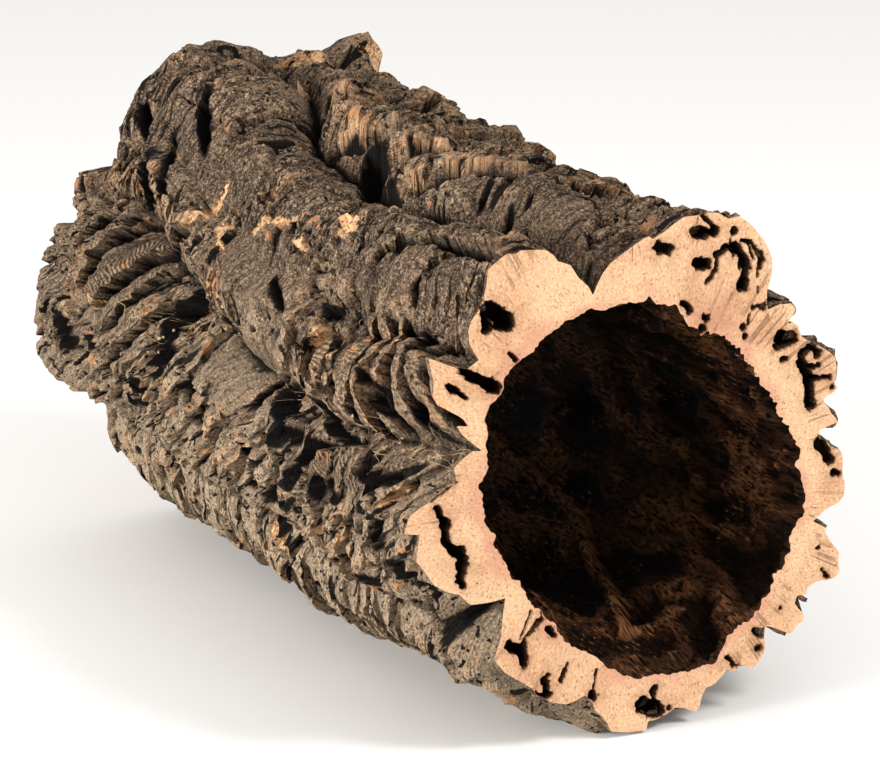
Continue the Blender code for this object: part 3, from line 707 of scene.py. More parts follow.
def to_path(along, angle, path, radius):
    """The distance to a path over a cylinder of that radius."""
    closest = np.full(len(along), 99.0)
    for (place, at), (next_place, next_at) in zip(path, path[1:]):
        ahead, aside = along - place, np.radians(turn_between(angle, at)) * radius
        run, turn = next_place - place, np.radians(next_at - at) * radius
        share = np.clip((ahead * run + aside * turn) / (run**2 + turn**2), 0, 1)
        closest = np.minimum(closest, np.hypot(ahead - share * run, aside - share * turn))
    return closest


def bore_radius(along, angle):
    """The bore's radius, with fibres and a rough fringe, and how far each point lies back or stands out."""
    around = on_cylinder(along, angle, PLAIN_BORE)
    radius = rim_radius(angle, BORE_OUTLINE) + layered(around, BORE_LUMPS)
    strands = around * (BORE_FIBRE_STRETCH, 1, 1) + layered(around, BORE_BENDS)[:, None]
    waves = [(height, np.abs(lumps(strands, size, SEED + seed))) for size, height, seed in BORE_FIBRES]
    relief = sum(height * (wave - FIBRE_MIDDLE) for height, wave in waves)
    for path in BORE_VEINS:
        relief -= VEIN_HEIGHT * smooth_step(*VEIN_EDGE, to_path(along, angle, path, PLAIN_BORE))
    fringe = smooth_step(MOUTH_X - FRINGE_REACH[0], MOUTH_X - FRINGE_REACH[1], along)
    fringe *= np.where(np.abs(turn_between(angle, TORN_SIDE)) < TORN_HALF, 1.0, FRINGE_ELSEWHERE)
    inside = smooth_step(MOUTH_X, MOUTH_X - BORE_START, along)
    radius += inside * relief + fringe * layered(around, BORE_FRINGE)
    return radius, inside * smooth_step(*STANDS_OUT, relief), inside * smooth_step(*LIES_BACK, relief)


# Hollows in the sawn mouth: two ends of each beside the axis, as across and up, its radius and its depth.
# They lie in the top right lobe, the top left lobe, the right edge, the left slot and the bottom.
MOUTH_HOLLOWS = (
    ((6, 79), (9, 78), 2.2, 4), ((20, 82), (23, 81.5), 2, 8), ((27, 82), (27, 82), 1.8, 7),
    ((22, 88), (26, 84), 0.5, 3), ((34, 81), (34, 81), 1.1, 5), ((21, 71.5), (24, 71.5), 1.9, 8),
    ((28, 74), (31.5, 76), 1.3, 7), ((28, 74), (28, 69), 0.5, 4), ((27, 68), (25, 65.5), 0.8, 5),
    ((33, 78), (34.5, 73), 0.8, 6), ((35, 77), (39.5, 70), 1.2, 8), ((37, 72), (36.8, 68), 0.5, 4),
    ((39.5, 70), (39, 65), 1.6, 5), ((38.8, 62.8), (38.8, 62.8), 2.3, 8), ((37, 77.5), (41, 76.5), 0.6, 4),
    ((41, 76.5), (43.5, 73), 0.5, 4), ((40, 76), (42, 71), 0.5, 4), ((44.7, 71.5), (44.5, 68), 1, 6),
    ((44, 68), (43.6, 65), 0.5, 4), ((44, 61), (44, 59.5), 0.5, 4), ((42, 54.5), (46.5, 54.3), 0.9, 4),
    ((41, 52), (40.5, 49), 0.4, 3), ((38.5, 47.8), (38.5, 47.8), 1.1, 4), ((39.5, 45), (39.5, 45), 0.9, 4),
    ((15.5, 59), (18, 56), 1.3, 5), ((23.5, 54), (25, 52.5), 1, 4), ((22.5, 49.5), (22.5, 49.5), 1.4, 5),
    ((-57.5, 67), (-57, 60), 2, 9), ((-56, 66), (-50, 61.5), 3, 12), ((-53, 60.5), (-49, 60), 1.8, 9),
    ((-66, 48), (-63, 45), 1.6, 8), ((-63, 45), (-57, 42), 2, 10), ((-57, 42), (-53.5, 39.5), 1.8, 8),
    ((-71, 43), (-68, 40.5), 0.9, 5), ((-68, 40.5), (-64.5, 37.8), 0.7, 5), ((-49, 51), (-46, 47.5), 0.5, 3),
    ((53, 43), (57.5, 42), 2.6, 9), ((51, 40), (58, 40), 1, 6), ((54, 35), (56, 35), 0.7, 4),
    ((61.5, 33), (65, 27), 2, 7), ((65, 27), (66, 18), 1.9, 8), ((66, 27), (73, 26.5), 1, 5),
    ((62, 36), (66, 38), 2, 4), ((66, 38), (68, 35), 1.5, 4), ((65, 31), (69, 31), 1, 4),
    ((74.5, 23), (74.5, 23), 0.8, 4), ((70, 4), (74, -2), 2, 4), ((76, -7), (78, -8), 1, 4),
    ((70.5, -32.5), (70.5, -32.5), 0.8, 4), ((72, -41), (75, -44), 0.8, 4), ((56, -52), (56, -52), 0.8, 4),
    ((46, -59), (48, -60), 1.5, 4), ((47.5, -65), (47.5, -65), 1.3, 5), ((35, -66), (39, -70), 1, 4),
    ((-75, 3), (-72.5, -2), 1.4, 7), ((-72.5, -2), (-71.5, -9), 1.8, 9), ((-71.5, -10), (-67, -13), 1.6, 9),
    ((-67, -13), (-65.5, -18), 2.2, 11), ((-65.5, -18), (-66.5, -22), 1.8, 9),
    ((-67, -22.5), (-66, -24), 1.5, 8), ((-77, 5.5), (-68, 10.5), 0.4, 2),
    ((-60.5, -24.5), (-60.5, -24.5), 0.5, 3), ((-48, -48), (-44, -50), 1.8, 8),
    ((-43, -47.5), (-43, -55), 1.5, 9), ((-43.5, -52), (-43, -56.5), 1.1, 8),
    ((-44.5, -46.5), (-40.5, -37.5), 0.4, 2), ((-42, -46), (-37, -41), 0.8, 2),
    ((-36.5, -37.5), (-36.5, -41), 0.8, 3), ((-34, -44.5), (-31.5, -47.5), 0.8, 4),
    ((-34.5, -62), (-35, -66), 1.5, 7), ((-38.5, -67), (-34, -67.5), 1.4, 7),
    ((-26.5, -58), (-29, -63.5), 0.7, 3), ((-16.7, -71), (-16.7, -71), 1.8, 7),
    ((-16.5, -68), (-15.5, -62), 0.4, 2), ((6.8, -72.5), (6.5, -75.5), 1, 7), ((2.5, -77.5), (8, -80), 3, 11),
    ((12.5, -80), (12.5, -80), 0.8, 4),
)
MOUTH_FRAYS = ((2.6, 0.7, 90), (1.1, 0.45, 91))
HOLLOW_EDGE = (0.25, -0.35)
STAIN_REACH = 1.6


def mouth_hollows(radius, angle):
    """How far each point of the sawn mouth lies back in a hollow, and the brown stain round it."""
    across, up = radius * np.cos(np.radians(angle)), radius * np.sin(np.radians(angle))
    frayed = layered(np.stack((across, up, 0 * up), axis=1), MOUTH_FRAYS)
    depth, stain = np.zeros(len(radius)), np.zeros(len(radius))
    for start, end, width, deep in MOUTH_HOLLOWS:
        run = np.subtract(end, start)
        along = ((across - start[0]) * run[0] + (up - start[1]) * run[1]) / max(run @ run, 1e-9)
        along = np.clip(along, 0, 1)
        distance = np.hypot(across - start[0] - along * run[0], up - start[1] - along * run[1])
        distance += frayed * min(1, width)
        hollow = smooth_step(width + HOLLOW_EDGE[0], width + HOLLOW_EDGE[1], distance)
        depth = np.maximum(depth, deep * hollow)
        stain = np.maximum(stain, smooth_step(width + STAIN_REACH, width, distance) * min(1, width))
    return depth, stain


# The tube's wall as place along it and radius: down the bark, in at the far end, up the bore and out at the
# mouth
WALL_OUTLINE = (
    [(x, PLAIN_OUTER) for x in np.arange(MOUTH_X, -MOUTH_X, -ALONG_STEP)]
    + [(-MOUTH_X, r) for r in np.linspace(PLAIN_OUTER, PLAIN_BORE, FAR_WALL_STEPS + 1)[:-1]]
    + [(x, PLAIN_BORE) for x in np.arange(-MOUTH_X, MOUTH_X, BORE_STEP)]
    + [(MOUTH_X, r) for r in np.linspace(PLAIN_BORE, PLAIN_OUTER, MOUTH_WALL_STEPS + 1)[:-1]]
)

# How far round a point the bark is evened out to tell its crests and hollows, how far above or below that
# a point lies where it begins to be one and is one in full, and how near the mouth the hollows fade, and
# by how much. The hollows are painted dark as the shade that falls in them
NEAR_REACH = 1.6
WIDE_REACH = 5.0
HOLLOW_BELOW = (0.6, 3.8)
HOLLOW_PIT = (0.5, 2.0)
CREST_NEAR = (0.1, 0.9)
CREST_WIDE = (1.0, 4.5)
HOLLOW_FADE = (14, 5)
HOLLOW_FADED = 0.85


def mesh_points(mesh):
    flat = np.empty(len(mesh.vertices) * 3)
    mesh.vertices.foreach_get("co", flat)
    return flat.reshape(-1, 3)


def flat_sheet(columns, rows):
    """A flat sheet of one unit, and how far along it and up it each of its points is."""
    sheet = bmesh.new()
    bmesh.ops.create_grid(sheet, x_segments=columns, y_segments=rows, size=0.5)
    mesh = bpy.data.meshes.new("sheet")
    sheet.to_mesh(mesh)
    sheet.free()
    flat = mesh_points(mesh)
    return mesh, flat[:, 0] + 0.5, flat[:, 1] + 0.5


def rolled_sheet():
    """A plain sheet whose rows run round the tube and whose columns follow the outline of its wall."""
    mesh, outline_share, turn_share = flat_sheet(len(WALL_OUTLINE), AROUND_STEPS)
    column = np.round(outline_share * len(WALL_OUTLINE)).astype(int) % len(WALL_OUTLINE)
    along, radius = np.array(WALL_OUTLINE)[column].T
    mesh.vertices.foreach_set("co", on_cylinder(along, turn_share * 360, radius).ravel())
    return mesh


def closed(mesh):
    """The rolled sheet's two pairs of edges joined, with its faces pointing out."""
    seam = bmesh.new()
    seam.from_mesh(mesh)
    bmesh.ops.remove_doubles(seam, verts=seam.verts, dist=SEAM_REACH)
    bmesh.ops.recalc_face_normals(seam, faces=seam.faces)
    seam.to_mesh(mesh)
    seam.free()
    return mesh


def bark_maps():
    """The bark's relief and what colours it, on a grid of rows along the tube and columns round it."""
    rows = round(LENGTH / ALONG_STEP) + 1
    turns = np.arange(AROUND_STEPS) * 360 / AROUND_STEPS
    along, angle = np.meshgrid(np.linspace(MOUTH_X, -MOUTH_X, rows), turns, indexing="ij")
    relief = bark_relief(along.ravel(), angle.ravel())
    maps = {name: value.reshape(along.shape) for name, value in relief.items()}
    radius = maps["radius"]
    near, wide = blurred(radius, NEAR_REACH), blurred(radius, WIDE_REACH)
    behind_rim = 1 - HOLLOW_FADED * smooth_step(MOUTH_X - HOLLOW_FADE[0], MOUTH_X - HOLLOW_FADE[1], along)
    # Painted shade: dark where the bark lies below its surroundings and in pits and holes, less behind the
    # mouth
    deep = smooth_step(*HOLLOW_BELOW, wide - radius) + smooth_step(*HOLLOW_PIT, maps["pitted"])
    recess_shade = np.clip(deep, 0, 1) * behind_rim * (1 - maps["chip"])
    maps["hollow"] = np.maximum(recess_shade, maps.pop("hole_shade"))
    crest = 0.5 * smooth_step(*CREST_NEAR, radius - near) + smooth_step(*CREST_WIDE, radius - wide)
    maps["crest"] = np.clip(crest, 0, 1)
    return maps


def raised_bark(plain, maps):
    """The plain tube's points moved to the bark, the bore and the mouth's hollows, with their marks."""
    along = plain[:, 0]
    angle = np.degrees(np.arctan2(plain[:, 2], plain[:, 1])) % 360
    wall = (np.hypot(plain[:, 1], plain[:, 2]) - PLAIN_BORE) / (PLAIN_OUTER - PLAIN_BORE)
    row = np.round((MOUTH_X - along) / ALONG_STEP).astype(int)
    column = np.round(angle * AROUND_STEPS / 360).astype(int) % AROUND_STEPS
    marks = {name: values[row, column] for name, values in maps.items() if name != "pitted"}
    inner, bore_recess_shade, bore_ridge_highlight = bore_radius(along, angle)
    outer = np.maximum(marks.pop("radius"), inner + LEAST_WALL)
    radius = inner + wall * (outer - inner)

    in_wall = (wall > 0.01) & (wall < 0.99)
    on_mouth = in_wall & (along > 0)
    depth, stain = np.zeros(len(along)), np.zeros(len(along))
    depth[on_mouth], stain[on_mouth] = mouth_hollows(radius[on_mouth], angle[on_mouth])
    on_bark = wall > 0.99
    on_rim = (np.abs(along) > MOUTH_X - 0.01) & ~in_wall
    shift = np.where(on_bark, marks.pop("reach"), 0) - depth
    points = on_cylinder(np.clip(along + shift, -MOUTH_X, MOUTH_X), angle, radius)
    points[:, 1] += AXIS_Y
    points[:, 2] = np.maximum(points[:, 2] + AXIS_Z, 0)

    around = on_cylinder(along, angle, PLAIN_OUTER)
    across = np.where(on_bark, marks.pop("across"), np.where(in_wall, radius, along))
    marks["grain"] = np.stack((across, around[:, 1], around[:, 2]), axis=1)
    # On the bore, hollow is painted shade where it lies back and crest a painted highlight where it stands
    # out
    marks["hollow"] = np.where(on_bark, marks["hollow"], np.where(in_wall, 0, bore_recess_shade))
    marks["crest"] = np.where(on_bark, marks["crest"], np.where(in_wall, 0, bore_ridge_highlight))
    marks["torn"] = in_wall * smooth_step(*TORN_FADE, np.abs(turn_between(angle, TORN_SIDE))) * wall
    marks["region"] = np.where(on_bark, 0, np.where(in_wall, 1, 2)).astype(float)
    mouth_kept = np.where(stain > 0, MOUTH_HOLLOW_KEPT, np.where(on_mouth, MOUTH_KEPT, 0))
    marks["kept"] = np.where(on_rim, 1, mouth_kept)
    marks.update(depth=depth, stain=stain, inward=1 - wall, turn=angle)
    return points, marks


def write_marks(mesh, marks):
    """Marks kept on the mesh's points, for its finishes to read."""
    for name, values in marks.items():
        kind, slot = ("FLOAT_VECTOR", "vector") if values.ndim == 2 else ("FLOAT", "value")
        mesh.attributes.new(name, kind, "POINT").data.foreach_set(slot, values.astype(np.float32).ravel())


def read_mark(mesh, name):
    values = np.empty(len(mesh.vertices), np.float32)
    mesh.attributes[name].data.foreach_get("value", values)
    return values


def new_piece(name, data):
    piece = bpy.data.objects.new(name, data)
    bpy.context.scene.collection.objects.link(piece)
    return piece


def made_mesh(thing, name):
    """The mesh that an object's modifiers or bevel give, with the object itself taken away."""
    bpy.context.view_layer.update()
    mesh = bpy.data.meshes.new_from_object(thing.evaluated_get(bpy.context.evaluated_depsgraph_get()))
    bpy.data.objects.remove(thing)
    mesh.name = name
    return mesh


def thinned(fine, triangles, name):
    """A new mesh object with about that many triangles, most where the relief is sharpest."""
    thick = new_piece("fine mesh", fine)
    kept = thick.vertex_groups.new(name="kept")
    weights = read_mark(fine, "kept")
    for weight in np.unique(weights[weights > 0]):
        kept.add(np.flatnonzero(weights == weight).tolist(), float(weight), "REPLACE")
    fewer = thick.modifiers.new("fewer faces", "DECIMATE")
    fewer.ratio = triangles / (2 * len(fine.polygons))
    fewer.vertex_group = "kept"
    fewer.invert_vertex_group = True
    mesh = made_mesh(thick, name)
    bpy.data.meshes.remove(fine)
    return new_piece(name, mesh)


def smoothed(piece):
    """Soft shading over the relief, and sharp edges where it breaks."""
    piece.data.shade_smooth()
    piece.data.set_sharp_from_angle(angle=np.radians(SHARP_EDGE))


fine_mesh = closed(rolled_sheet())
bark_points, bark_marks = raised_bark(mesh_points(fine_mesh), bark_maps())
fine_mesh.vertices.foreach_set("co", (bark_points * MM).ravel())
write_marks(fine_mesh, bark_marks)
branch = thinned(fine_mesh, BARK_TRIANGLES, "branch_bark")
smoothed(branch)


# Finishes
def shade(red, green, blue):
    """A colour given as it looks on a screen, 0 to 255, as the linear values that nodes take."""
    screen = np.array((red, green, blue)) / 255
    linear = np.where(screen <= 0.04045, screen / 12.92, ((screen + 0.055) / 1.055) ** 2.4)
    return (*(float(value) for value in linear), 1.0)


def add_node(tree, kind, inputs=None, **settings):
    """A node with its settings, and its inputs set to values or linked to sockets."""
    node = tree.nodes.new("ShaderNode" + kind)
    for name, value in settings.items():
        setattr(node, name, value)
    for name, value in (inputs or {}).items():
        if isinstance(value, bpy.types.NodeSocket):
            tree.links.new(value, node.inputs[name])
        else:
            node.inputs[name].default_value = value
    return node


def mark(tree, name, socket="Fac"):
    return add_node(tree, "Attribute", attribute_name=name).outputs[socket]


def object_place(tree):
    return add_node(tree, "TexCoord").outputs["Object"]


def noise(tree, vector, scale, detail=2.0, roughness=0.5):
    inputs = {"Vector": vector, "Scale": scale, "Detail": detail, "Roughness": roughness}
    return add_node(tree, "TexNoise", inputs).outputs["Fac"]


def ramp(tree, value, low, high):
    """0 below low and 1 above high, smoothly."""
    inputs = {"Value": value, "From Min": low, "From Max": high}
    return add_node(tree, "MapRange", inputs, interpolation_type="SMOOTHSTEP").outputs["Result"]


def math(tree, operation, first, second=0.5):
    return add_node(tree, "Math", {0: first, 1: second}, operation=operation).outputs[0]


def times(tree, first, second):
    return math(tree, "MULTIPLY", first, second)


def added(tree, *values):
    """The sum of the values, each a socket or a socket and what it is multiplied by."""
    total = None
    for value in values:
        value = times(tree, *value) if isinstance(value, tuple) else value
        total = value if total is None else math(tree, "ADD", total, value)
    return total


def vector_math(tree, operation, first, second=None, socket=0):
    inputs = {0: first} if second is None else {0: first, 1: second}
    return add_node(tree, "VectorMath", inputs, operation=operation).outputs[socket]


def mix(tree, share, first, second):
    return add_node(tree, "Mix", {0: share, 6: first, 7: second}, data_type="RGBA").outputs[2]


def tinted(tree, color, layers):
    """The colour under layers of other tones, each with where it shows, its strength and its tone."""
    for share, strength, tone in layers:
        color = mix(tree, times(tree, share, strength), color, shade(*tone))
    return color


def off_middle(tree, value, strength):
    return times(tree, math(tree, "SUBTRACT", value, 0.5), strength)


def new_finish(name, roughness, gloss):
    material = bpy.data.materials.new(name)
    material.use_nodes = True
    shader = material.node_tree.nodes["Principled BSDF"]
    shader.inputs["Roughness"].default_value = roughness
    shader.inputs["Specular IOR Level"].default_value = gloss
    return material, material.node_tree, shader


def lay_surface(tree, shader, color, height, bump_depth):
    """The colour and the bumps of a finish, linked to its shader."""
    tree.links.new(color, shader.inputs["Base Color"])
    bump = add_node(tree, "Bump", {"Strength": 1.0, "Distance": bump_depth, "Height": height})
    tree.links.new(bump.outputs["Normal"], shader.inputs["Normal"])


def new_group(name, inputs, outputs):
    """A node group with its named sockets, and its input and output nodes."""
    tree = bpy.data.node_groups.new(name, "ShaderNodeTree")
    for in_out, sockets in (("INPUT", inputs), ("OUTPUT", outputs)):
        for socket, kind in sockets:
            tree.interface.new_socket(socket, in_out=in_out, socket_type="NodeSocket" + kind)
    return tree, tree.nodes.new("NodeGroupInput"), tree.nodes.new("NodeGroupOutput")


# Painted shade laid near-black over the bark's hollows and holes, with a ragged edge
hollow_shade_group, hollow_shade_in, hollow_shade_out = new_group(
    "Painted shade in hollows",
    (("Color", "Color"), ("Hollow", "Float"), ("Shade color", "Color")),
    (("Color", "Color"),),
)
hollow_shade_edge = times(hollow_shade_group, noise(hollow_shade_group, object_place(hollow_shade_group), 900.0, 3.0), 0.5)
hollow_shade_share = ramp(hollow_shade_group, math(hollow_shade_group, "ADD", hollow_shade_in.outputs["Hollow"], hollow_shade_edge), 0.3, 1.05)
hollow_shaded = mix(hollow_shade_group, hollow_shade_share, hollow_shade_in.outputs["Color"], hollow_shade_in.outputs["Shade color"])
hollow_shade_group.links.new(hollow_shaded, hollow_shade_out.inputs[0])

# Fibres of the grain, in the bark's and the bore's finish: broad strands and fine ones
fibre_group, fibre_in, fibre_out = new_group(
    "Fibres",
    (("Grain", "Vector"), ("Stretch", "Vector")),
    (("Coarse", "Float"), ("Fine", "Float")),
)
fibre_place = vector_math(fibre_group, "MULTIPLY", fibre_in.outputs["Grain"], fibre_in.outputs["Stretch"])
fibre_group.links.new(noise(fibre_group, fibre_place, 0.42, 3.0, 0.6), fibre_out.inputs["Coarse"])
fibre_group.links.new(noise(fibre_group, fibre_place, 1.3, 3.0, 0.65), fibre_out.inputs["Fine"])


def fibres_of(tree, grain, stretch):
    fibres = add_node(tree, "Group", {"Grain": grain, "Stretch": stretch}, node_tree=fibre_group)
    return fibres.outputs["Coarse"], fibres.outputs["Fine"]


def between_turns(tree, turn, start, end):
    """1 on one side of the tube, fading in and out between the two pairs of angles."""
    return times(tree, ramp(tree, turn, *start), ramp(tree, turn, *end))


def cracked(tree, vector, scale, size):
    """1 in the sparse dark gaps of a noise, and 0 beside them."""
    return ramp(tree, noise(tree, vector, scale, 1.0, 0.4), size, size - 0.035)


def bark_tones(tree, turn, even, coarse, fine, crumb):
    """The old bark's grey-brown: patches, painted light on the low flank, the shaded broad ridge, strands
    and crests.
    """
    place = object_place(tree)
    patch = noise(tree, place, 60.0, 3.0, 0.55)
    # Painted light: the low flank lightened, as the fill and the floor light it, less so toward the mouth
    low = between_turns(tree, turn, (130.0, 208.0), (350.0, 310.0))
    along_tube = add_node(tree, "SeparateXYZ", {"Vector": place}).outputs["X"]
    to_mouth = {"Value": along_tube, "From Min": 0.02, "From Max": 0.13, "To Min": 0.62, "To Max": 0.4}
    paler = add_node(tree, "MapRange", to_mouth).outputs["Result"]
    shaded = between_turns(tree, turn, (98.0, 110.0), (142.0, 130.0))
    crest = mark(tree, "crest")
    orange = ramp(tree, noise(tree, place, 36.0, 3.0, 0.6), 0.55, 0.59)
    color = mix(tree, ramp(tree, coarse, 0.42, 0.58), shade(70, 55, 43), shade(110, 88, 70))
    layers = (
        (ramp(tree, patch, 0.5, 0.6), 0.6, (124, 101, 79)),
        (ramp(tree, patch, 0.47, 0.36), 0.6, (54, 42, 34)),
        (low, paler, (178, 158, 131)),
        (mark(tree, "green"), 0.45, (146, 130, 98)),
        (even, 0.25, (62, 47, 37)),
        (shaded, 0.7, (50, 38, 30)),
        (ramp(tree, fine, 0.52, 0.62), 0.4, (150, 124, 98)),
        (ramp(tree, fine, 0.47, 0.39), 0.5, (46, 35, 28)),
        (times(tree, crest, ramp(tree, crumb, 0.46, 0.56)), 0.65, (178, 148, 117)),
        (times(tree, crest, orange), 0.4, (184, 138, 96)),
    )
    return tinted(tree, color, layers)


def bark_finish():
    """Rough old bark: its tones, flecks and grit, chips and lips worn to cork, the lips with a painted
    highlight, ribs, and painted shade in its slits, pits and hollows.
    """
    material, tree, shader = new_finish("bark", 0.85, 0.15)
    grain, place = mark(tree, "grain", "Vector"), object_place(tree)
    coarse, fine = fibres_of(tree, grain, (1.0, 0.09, 0.09))
    crumb, grit = noise(tree, place, 620.0, 4.0, 0.75), noise(tree, place, 1250.0, 2.0, 0.6)
    even, ribbed, turn = mark(tree, "even"), mark(tree, "ribbed"), mark(tree, "turn")
    rough = math(tree, "SUBTRACT", 1.0, times(tree, even, 0.6))
    along_grain = vector_math(tree, "MULTIPLY", grain, (1.0, 0.13, 0.13))
    slits = times(tree, cracked(tree, along_grain, 0.34, 0.37), rough)
    pits = times(tree, cracked(tree, place, 430.0, 0.35), rough)
    specks = (
        (times(tree, ramp(tree, crumb, 0.58, 0.61), rough), 0.5, (204, 178, 146)),
        (ramp(tree, crumb, 0.43, 0.4), 0.5, (34, 25, 19)),
        (ramp(tree, grit, 0.55, 0.63), 0.4, (196, 168, 138)),
        (ramp(tree, grit, 0.46, 0.38), 0.55, (30, 22, 17)),
        # Painted shade: the fine slits and pits laid near-black
        (math(tree, "MAXIMUM", slits, pits), 1.0, (22, 15, 11)),
    )
    color = tinted(tree, bark_tones(tree, turn, even, coarse, fine, crumb), specks)

    spots = ramp(tree, noise(tree, place, 75.0, 3.0, 0.65), 0.64, 0.66)
    spots = times(tree, spots, ramp(tree, mark(tree, "crest"), 0.15, 0.4))
    frayed = math(tree, "ADD", mark(tree, "chip"), off_middle(tree, crumb, 3.0))
    chips = math(tree, "MAXIMUM", ramp(tree, frayed, 0.45, 0.55), spots)
    chip_color = mix(tree, ramp(tree, frayed, 0.5, 1.1), shade(178, 128, 88), shade(228, 184, 138))
    chip_color = tinted(tree, chip_color, ((ramp(tree, crumb, 0.48, 0.42), 0.7, (140, 96, 64)),))
    color = mix(tree, times(tree, chips, 0.9), color, chip_color)
    # Lips worn to light cork, with a painted highlight on their tops where the light catches them
    lip = math(tree, "ADD", mark(tree, "worn_and_lit"), off_middle(tree, crumb, 2.6))
    lip = times(tree, ramp(tree, lip, 0.3, 0.6), ramp(tree, noise(tree, place, 55.0, 2.0, 0.5), 0.4, 0.52))
    lip_color = mix(tree, ramp(tree, fine, 0.4, 0.56), shade(156, 112, 78), shade(208, 166, 126))
    color = mix(tree, times(tree, lip, 0.75), color, lip_color)

    rib_wave = math(tree, "SINE", times(tree, mark(tree, "rib_place"), 2 * np.pi / RIB_PITCH))
    ribs = (
        (times(tree, ramp(tree, rib_wave, -0.2, -0.9), ribbed), 0.7, (40, 29, 22)),
        (times(tree, ramp(tree, rib_wave, 0.2, 0.9), ribbed), 0.4, (166, 138, 110)),
    )
    color = tinted(tree, color, ribs)
    # Painted shade: near-black over the hollows, pits and the insides of holes
    in_hollow = {"Color": color, "Hollow": mark(tree, "hollow"), "Shade color": shade(19, 13, 9)}
    color = add_node(tree, "Group", in_hollow, node_tree=hollow_shade_group).outputs[0]
    ribs = times(tree, times(tree, rib_wave, ribbed), 0.16)
    height = added(tree, (coarse, 0.8), (fine, 0.4), (crumb, 0.25), (grit, 0.1), ribs)
    gaps = math(tree, "MAXIMUM", times(tree, slits, 0.16), times(tree, pits, 0.12))
    height = math(tree, "SUBTRACT", height, math(tree, "MAXIMUM", gaps, times(tree, chips, 0.1)))
    lay_surface(tree, shader, color, height, 0.005)
    return material


def cut_finish():
    """Sawn cork: pale peach with brown specks, blushed toward the bore, torn at one side, brown in hollows
    and painted near-black deeper in them as their shade.
    """
    material, tree, shader = new_finish("cut cork", 0.9, 0.1)
    place = object_place(tree)
    from_axis = vector_math(tree, "SUBTRACT", place, (MOUTH_X * MM, AXIS_Y * MM, AXIS_Z * MM))
    outward = vector_math(tree, "NORMALIZE", from_axis)
    squeezed = added(tree, (vector_math(tree, "LENGTH", from_axis, socket="Value"), 0.6), 0.03)
    radial = add_node(tree, "VectorMath", {0: outward, "Scale": squeezed}, operation="SCALE").outputs[0]
    tone, specks = noise(tree, place, 45.0, 3.0, 0.55), noise(tree, place, 1050.0, 2.0, 0.55)
    grain, streaks = noise(tree, radial, 1300.0, 3.0, 0.65), noise(tree, outward, 34.0, 2.0, 0.7)
    torn = math(tree, "ADD", mark(tree, "torn"), off_middle(tree, tone, 2.4))
    cracks = times(tree, ramp(tree, streaks, 0.45, 0.38), ramp(tree, torn, 0.2, 0.5))
    blush = added(tree, mark(tree, "inward"), (tone, 1.6))
    color = mix(tree, ramp(tree, tone, 0.4, 0.6), shade(232, 188, 147), shade(222, 172, 132))
    layers = (
        (ramp(tree, grain, 0.5, 0.6), 0.4, (202, 154, 116)),
        (ramp(tree, grain, 0.49, 0.4), 0.6, (246, 212, 174)),
        (ramp(tree, blush, 1.4, 1.85), 0.65, (208, 148, 122)),
        (ramp(tree, specks, 0.64, 0.7), 0.65, (140, 90, 58)),
        (ramp(tree, torn, 0.5, 1.0), 0.15, (184, 140, 104)),
        (cracks, 0.45, (112, 74, 50)),
        (mark(tree, "stain"), 0.5, (156, 104, 70)),
    )
    color = tinted(tree, color, layers)
    # Brown on the hollows' walls, then painted shade: near-black where they are deepest
    depth = math(tree, "ADD", mark(tree, "depth"), off_middle(tree, grain, 3.0))
    inner = mix(tree, ramp(tree, grain, 0.44, 0.56), shade(50, 32, 21), shade(104, 72, 48))
    color = mix(tree, ramp(tree, depth, 0.4, 0.85), color, inner)
    color = mix(tree, ramp(tree, depth, 1.0, 4.2), color, shade(20, 13, 9))
    height = math(tree, "SUBTRACT", times(tree, grain, 0.5), times(tree, ramp(tree, specks, 0.6, 0.7), 0.12))
    height = math(tree, "SUBTRACT", height, times(tree, cracks, 0.6))
    lay_surface(tree, shader, color, height, 0.0014)
    return material


def bore_finish():
    """The bore: near-black strands, darkened in part as painted shade, rusty patches, painted light on
    the floor, light flecks as painted glints, and painted highlights on raised strands and veins.
    """
    material, tree, shader = new_finish("bore", 0.8, 0.08)
    coarse, fine = fibres_of(tree, mark(tree, "grain", "Vector"), (0.2, 0.6, 0.6))
    tone = noise(tree, object_place(tree), 30.0, 4.0, 0.7)
    floor = between_turns(tree, mark(tree, "turn"), (205.0, 250.0), (350.0, 310.0))
    # Painted shade: the bore's base colour is laid near-black to stand for the shade inside the tube
    color = mix(tree, ramp(tree, coarse, 0.44, 0.58), shade(11, 6, 3), shade(62, 38, 23))
    layers = (
        # Painted light: lighter brown on the bore's floor, where light falls on it
        (times(tree, floor, ramp(tree, fine, 0.4, 0.56)), 0.5, (112, 72, 46)),
        (times(tree, ramp(tree, tone, 0.49, 0.57), ramp(tree, fine, 0.42, 0.52)), 0.75, (140, 90, 55)),
        # Painted shade where the strands lie back
        (ramp(tree, mark(tree, "hollow"), 0.2, 0.8), 0.85, (8, 5, 3)),
        # Painted glints: light flecks
        (times(tree, ramp(tree, fine, 0.6, 0.64), ramp(tree, tone, 0.48, 0.56)), 0.7, (176, 138, 98)),
        # Painted highlight on the raised strands and veins
        (times(tree, mark(tree, "crest"), ramp(tree, fine, 0.42, 0.56)), 0.85, (176, 118, 74)),
    )
    lay_surface(tree, shader, tinted(tree, color, layers), added(tree, coarse, (fine, 0.6)), 0.007)
    return material


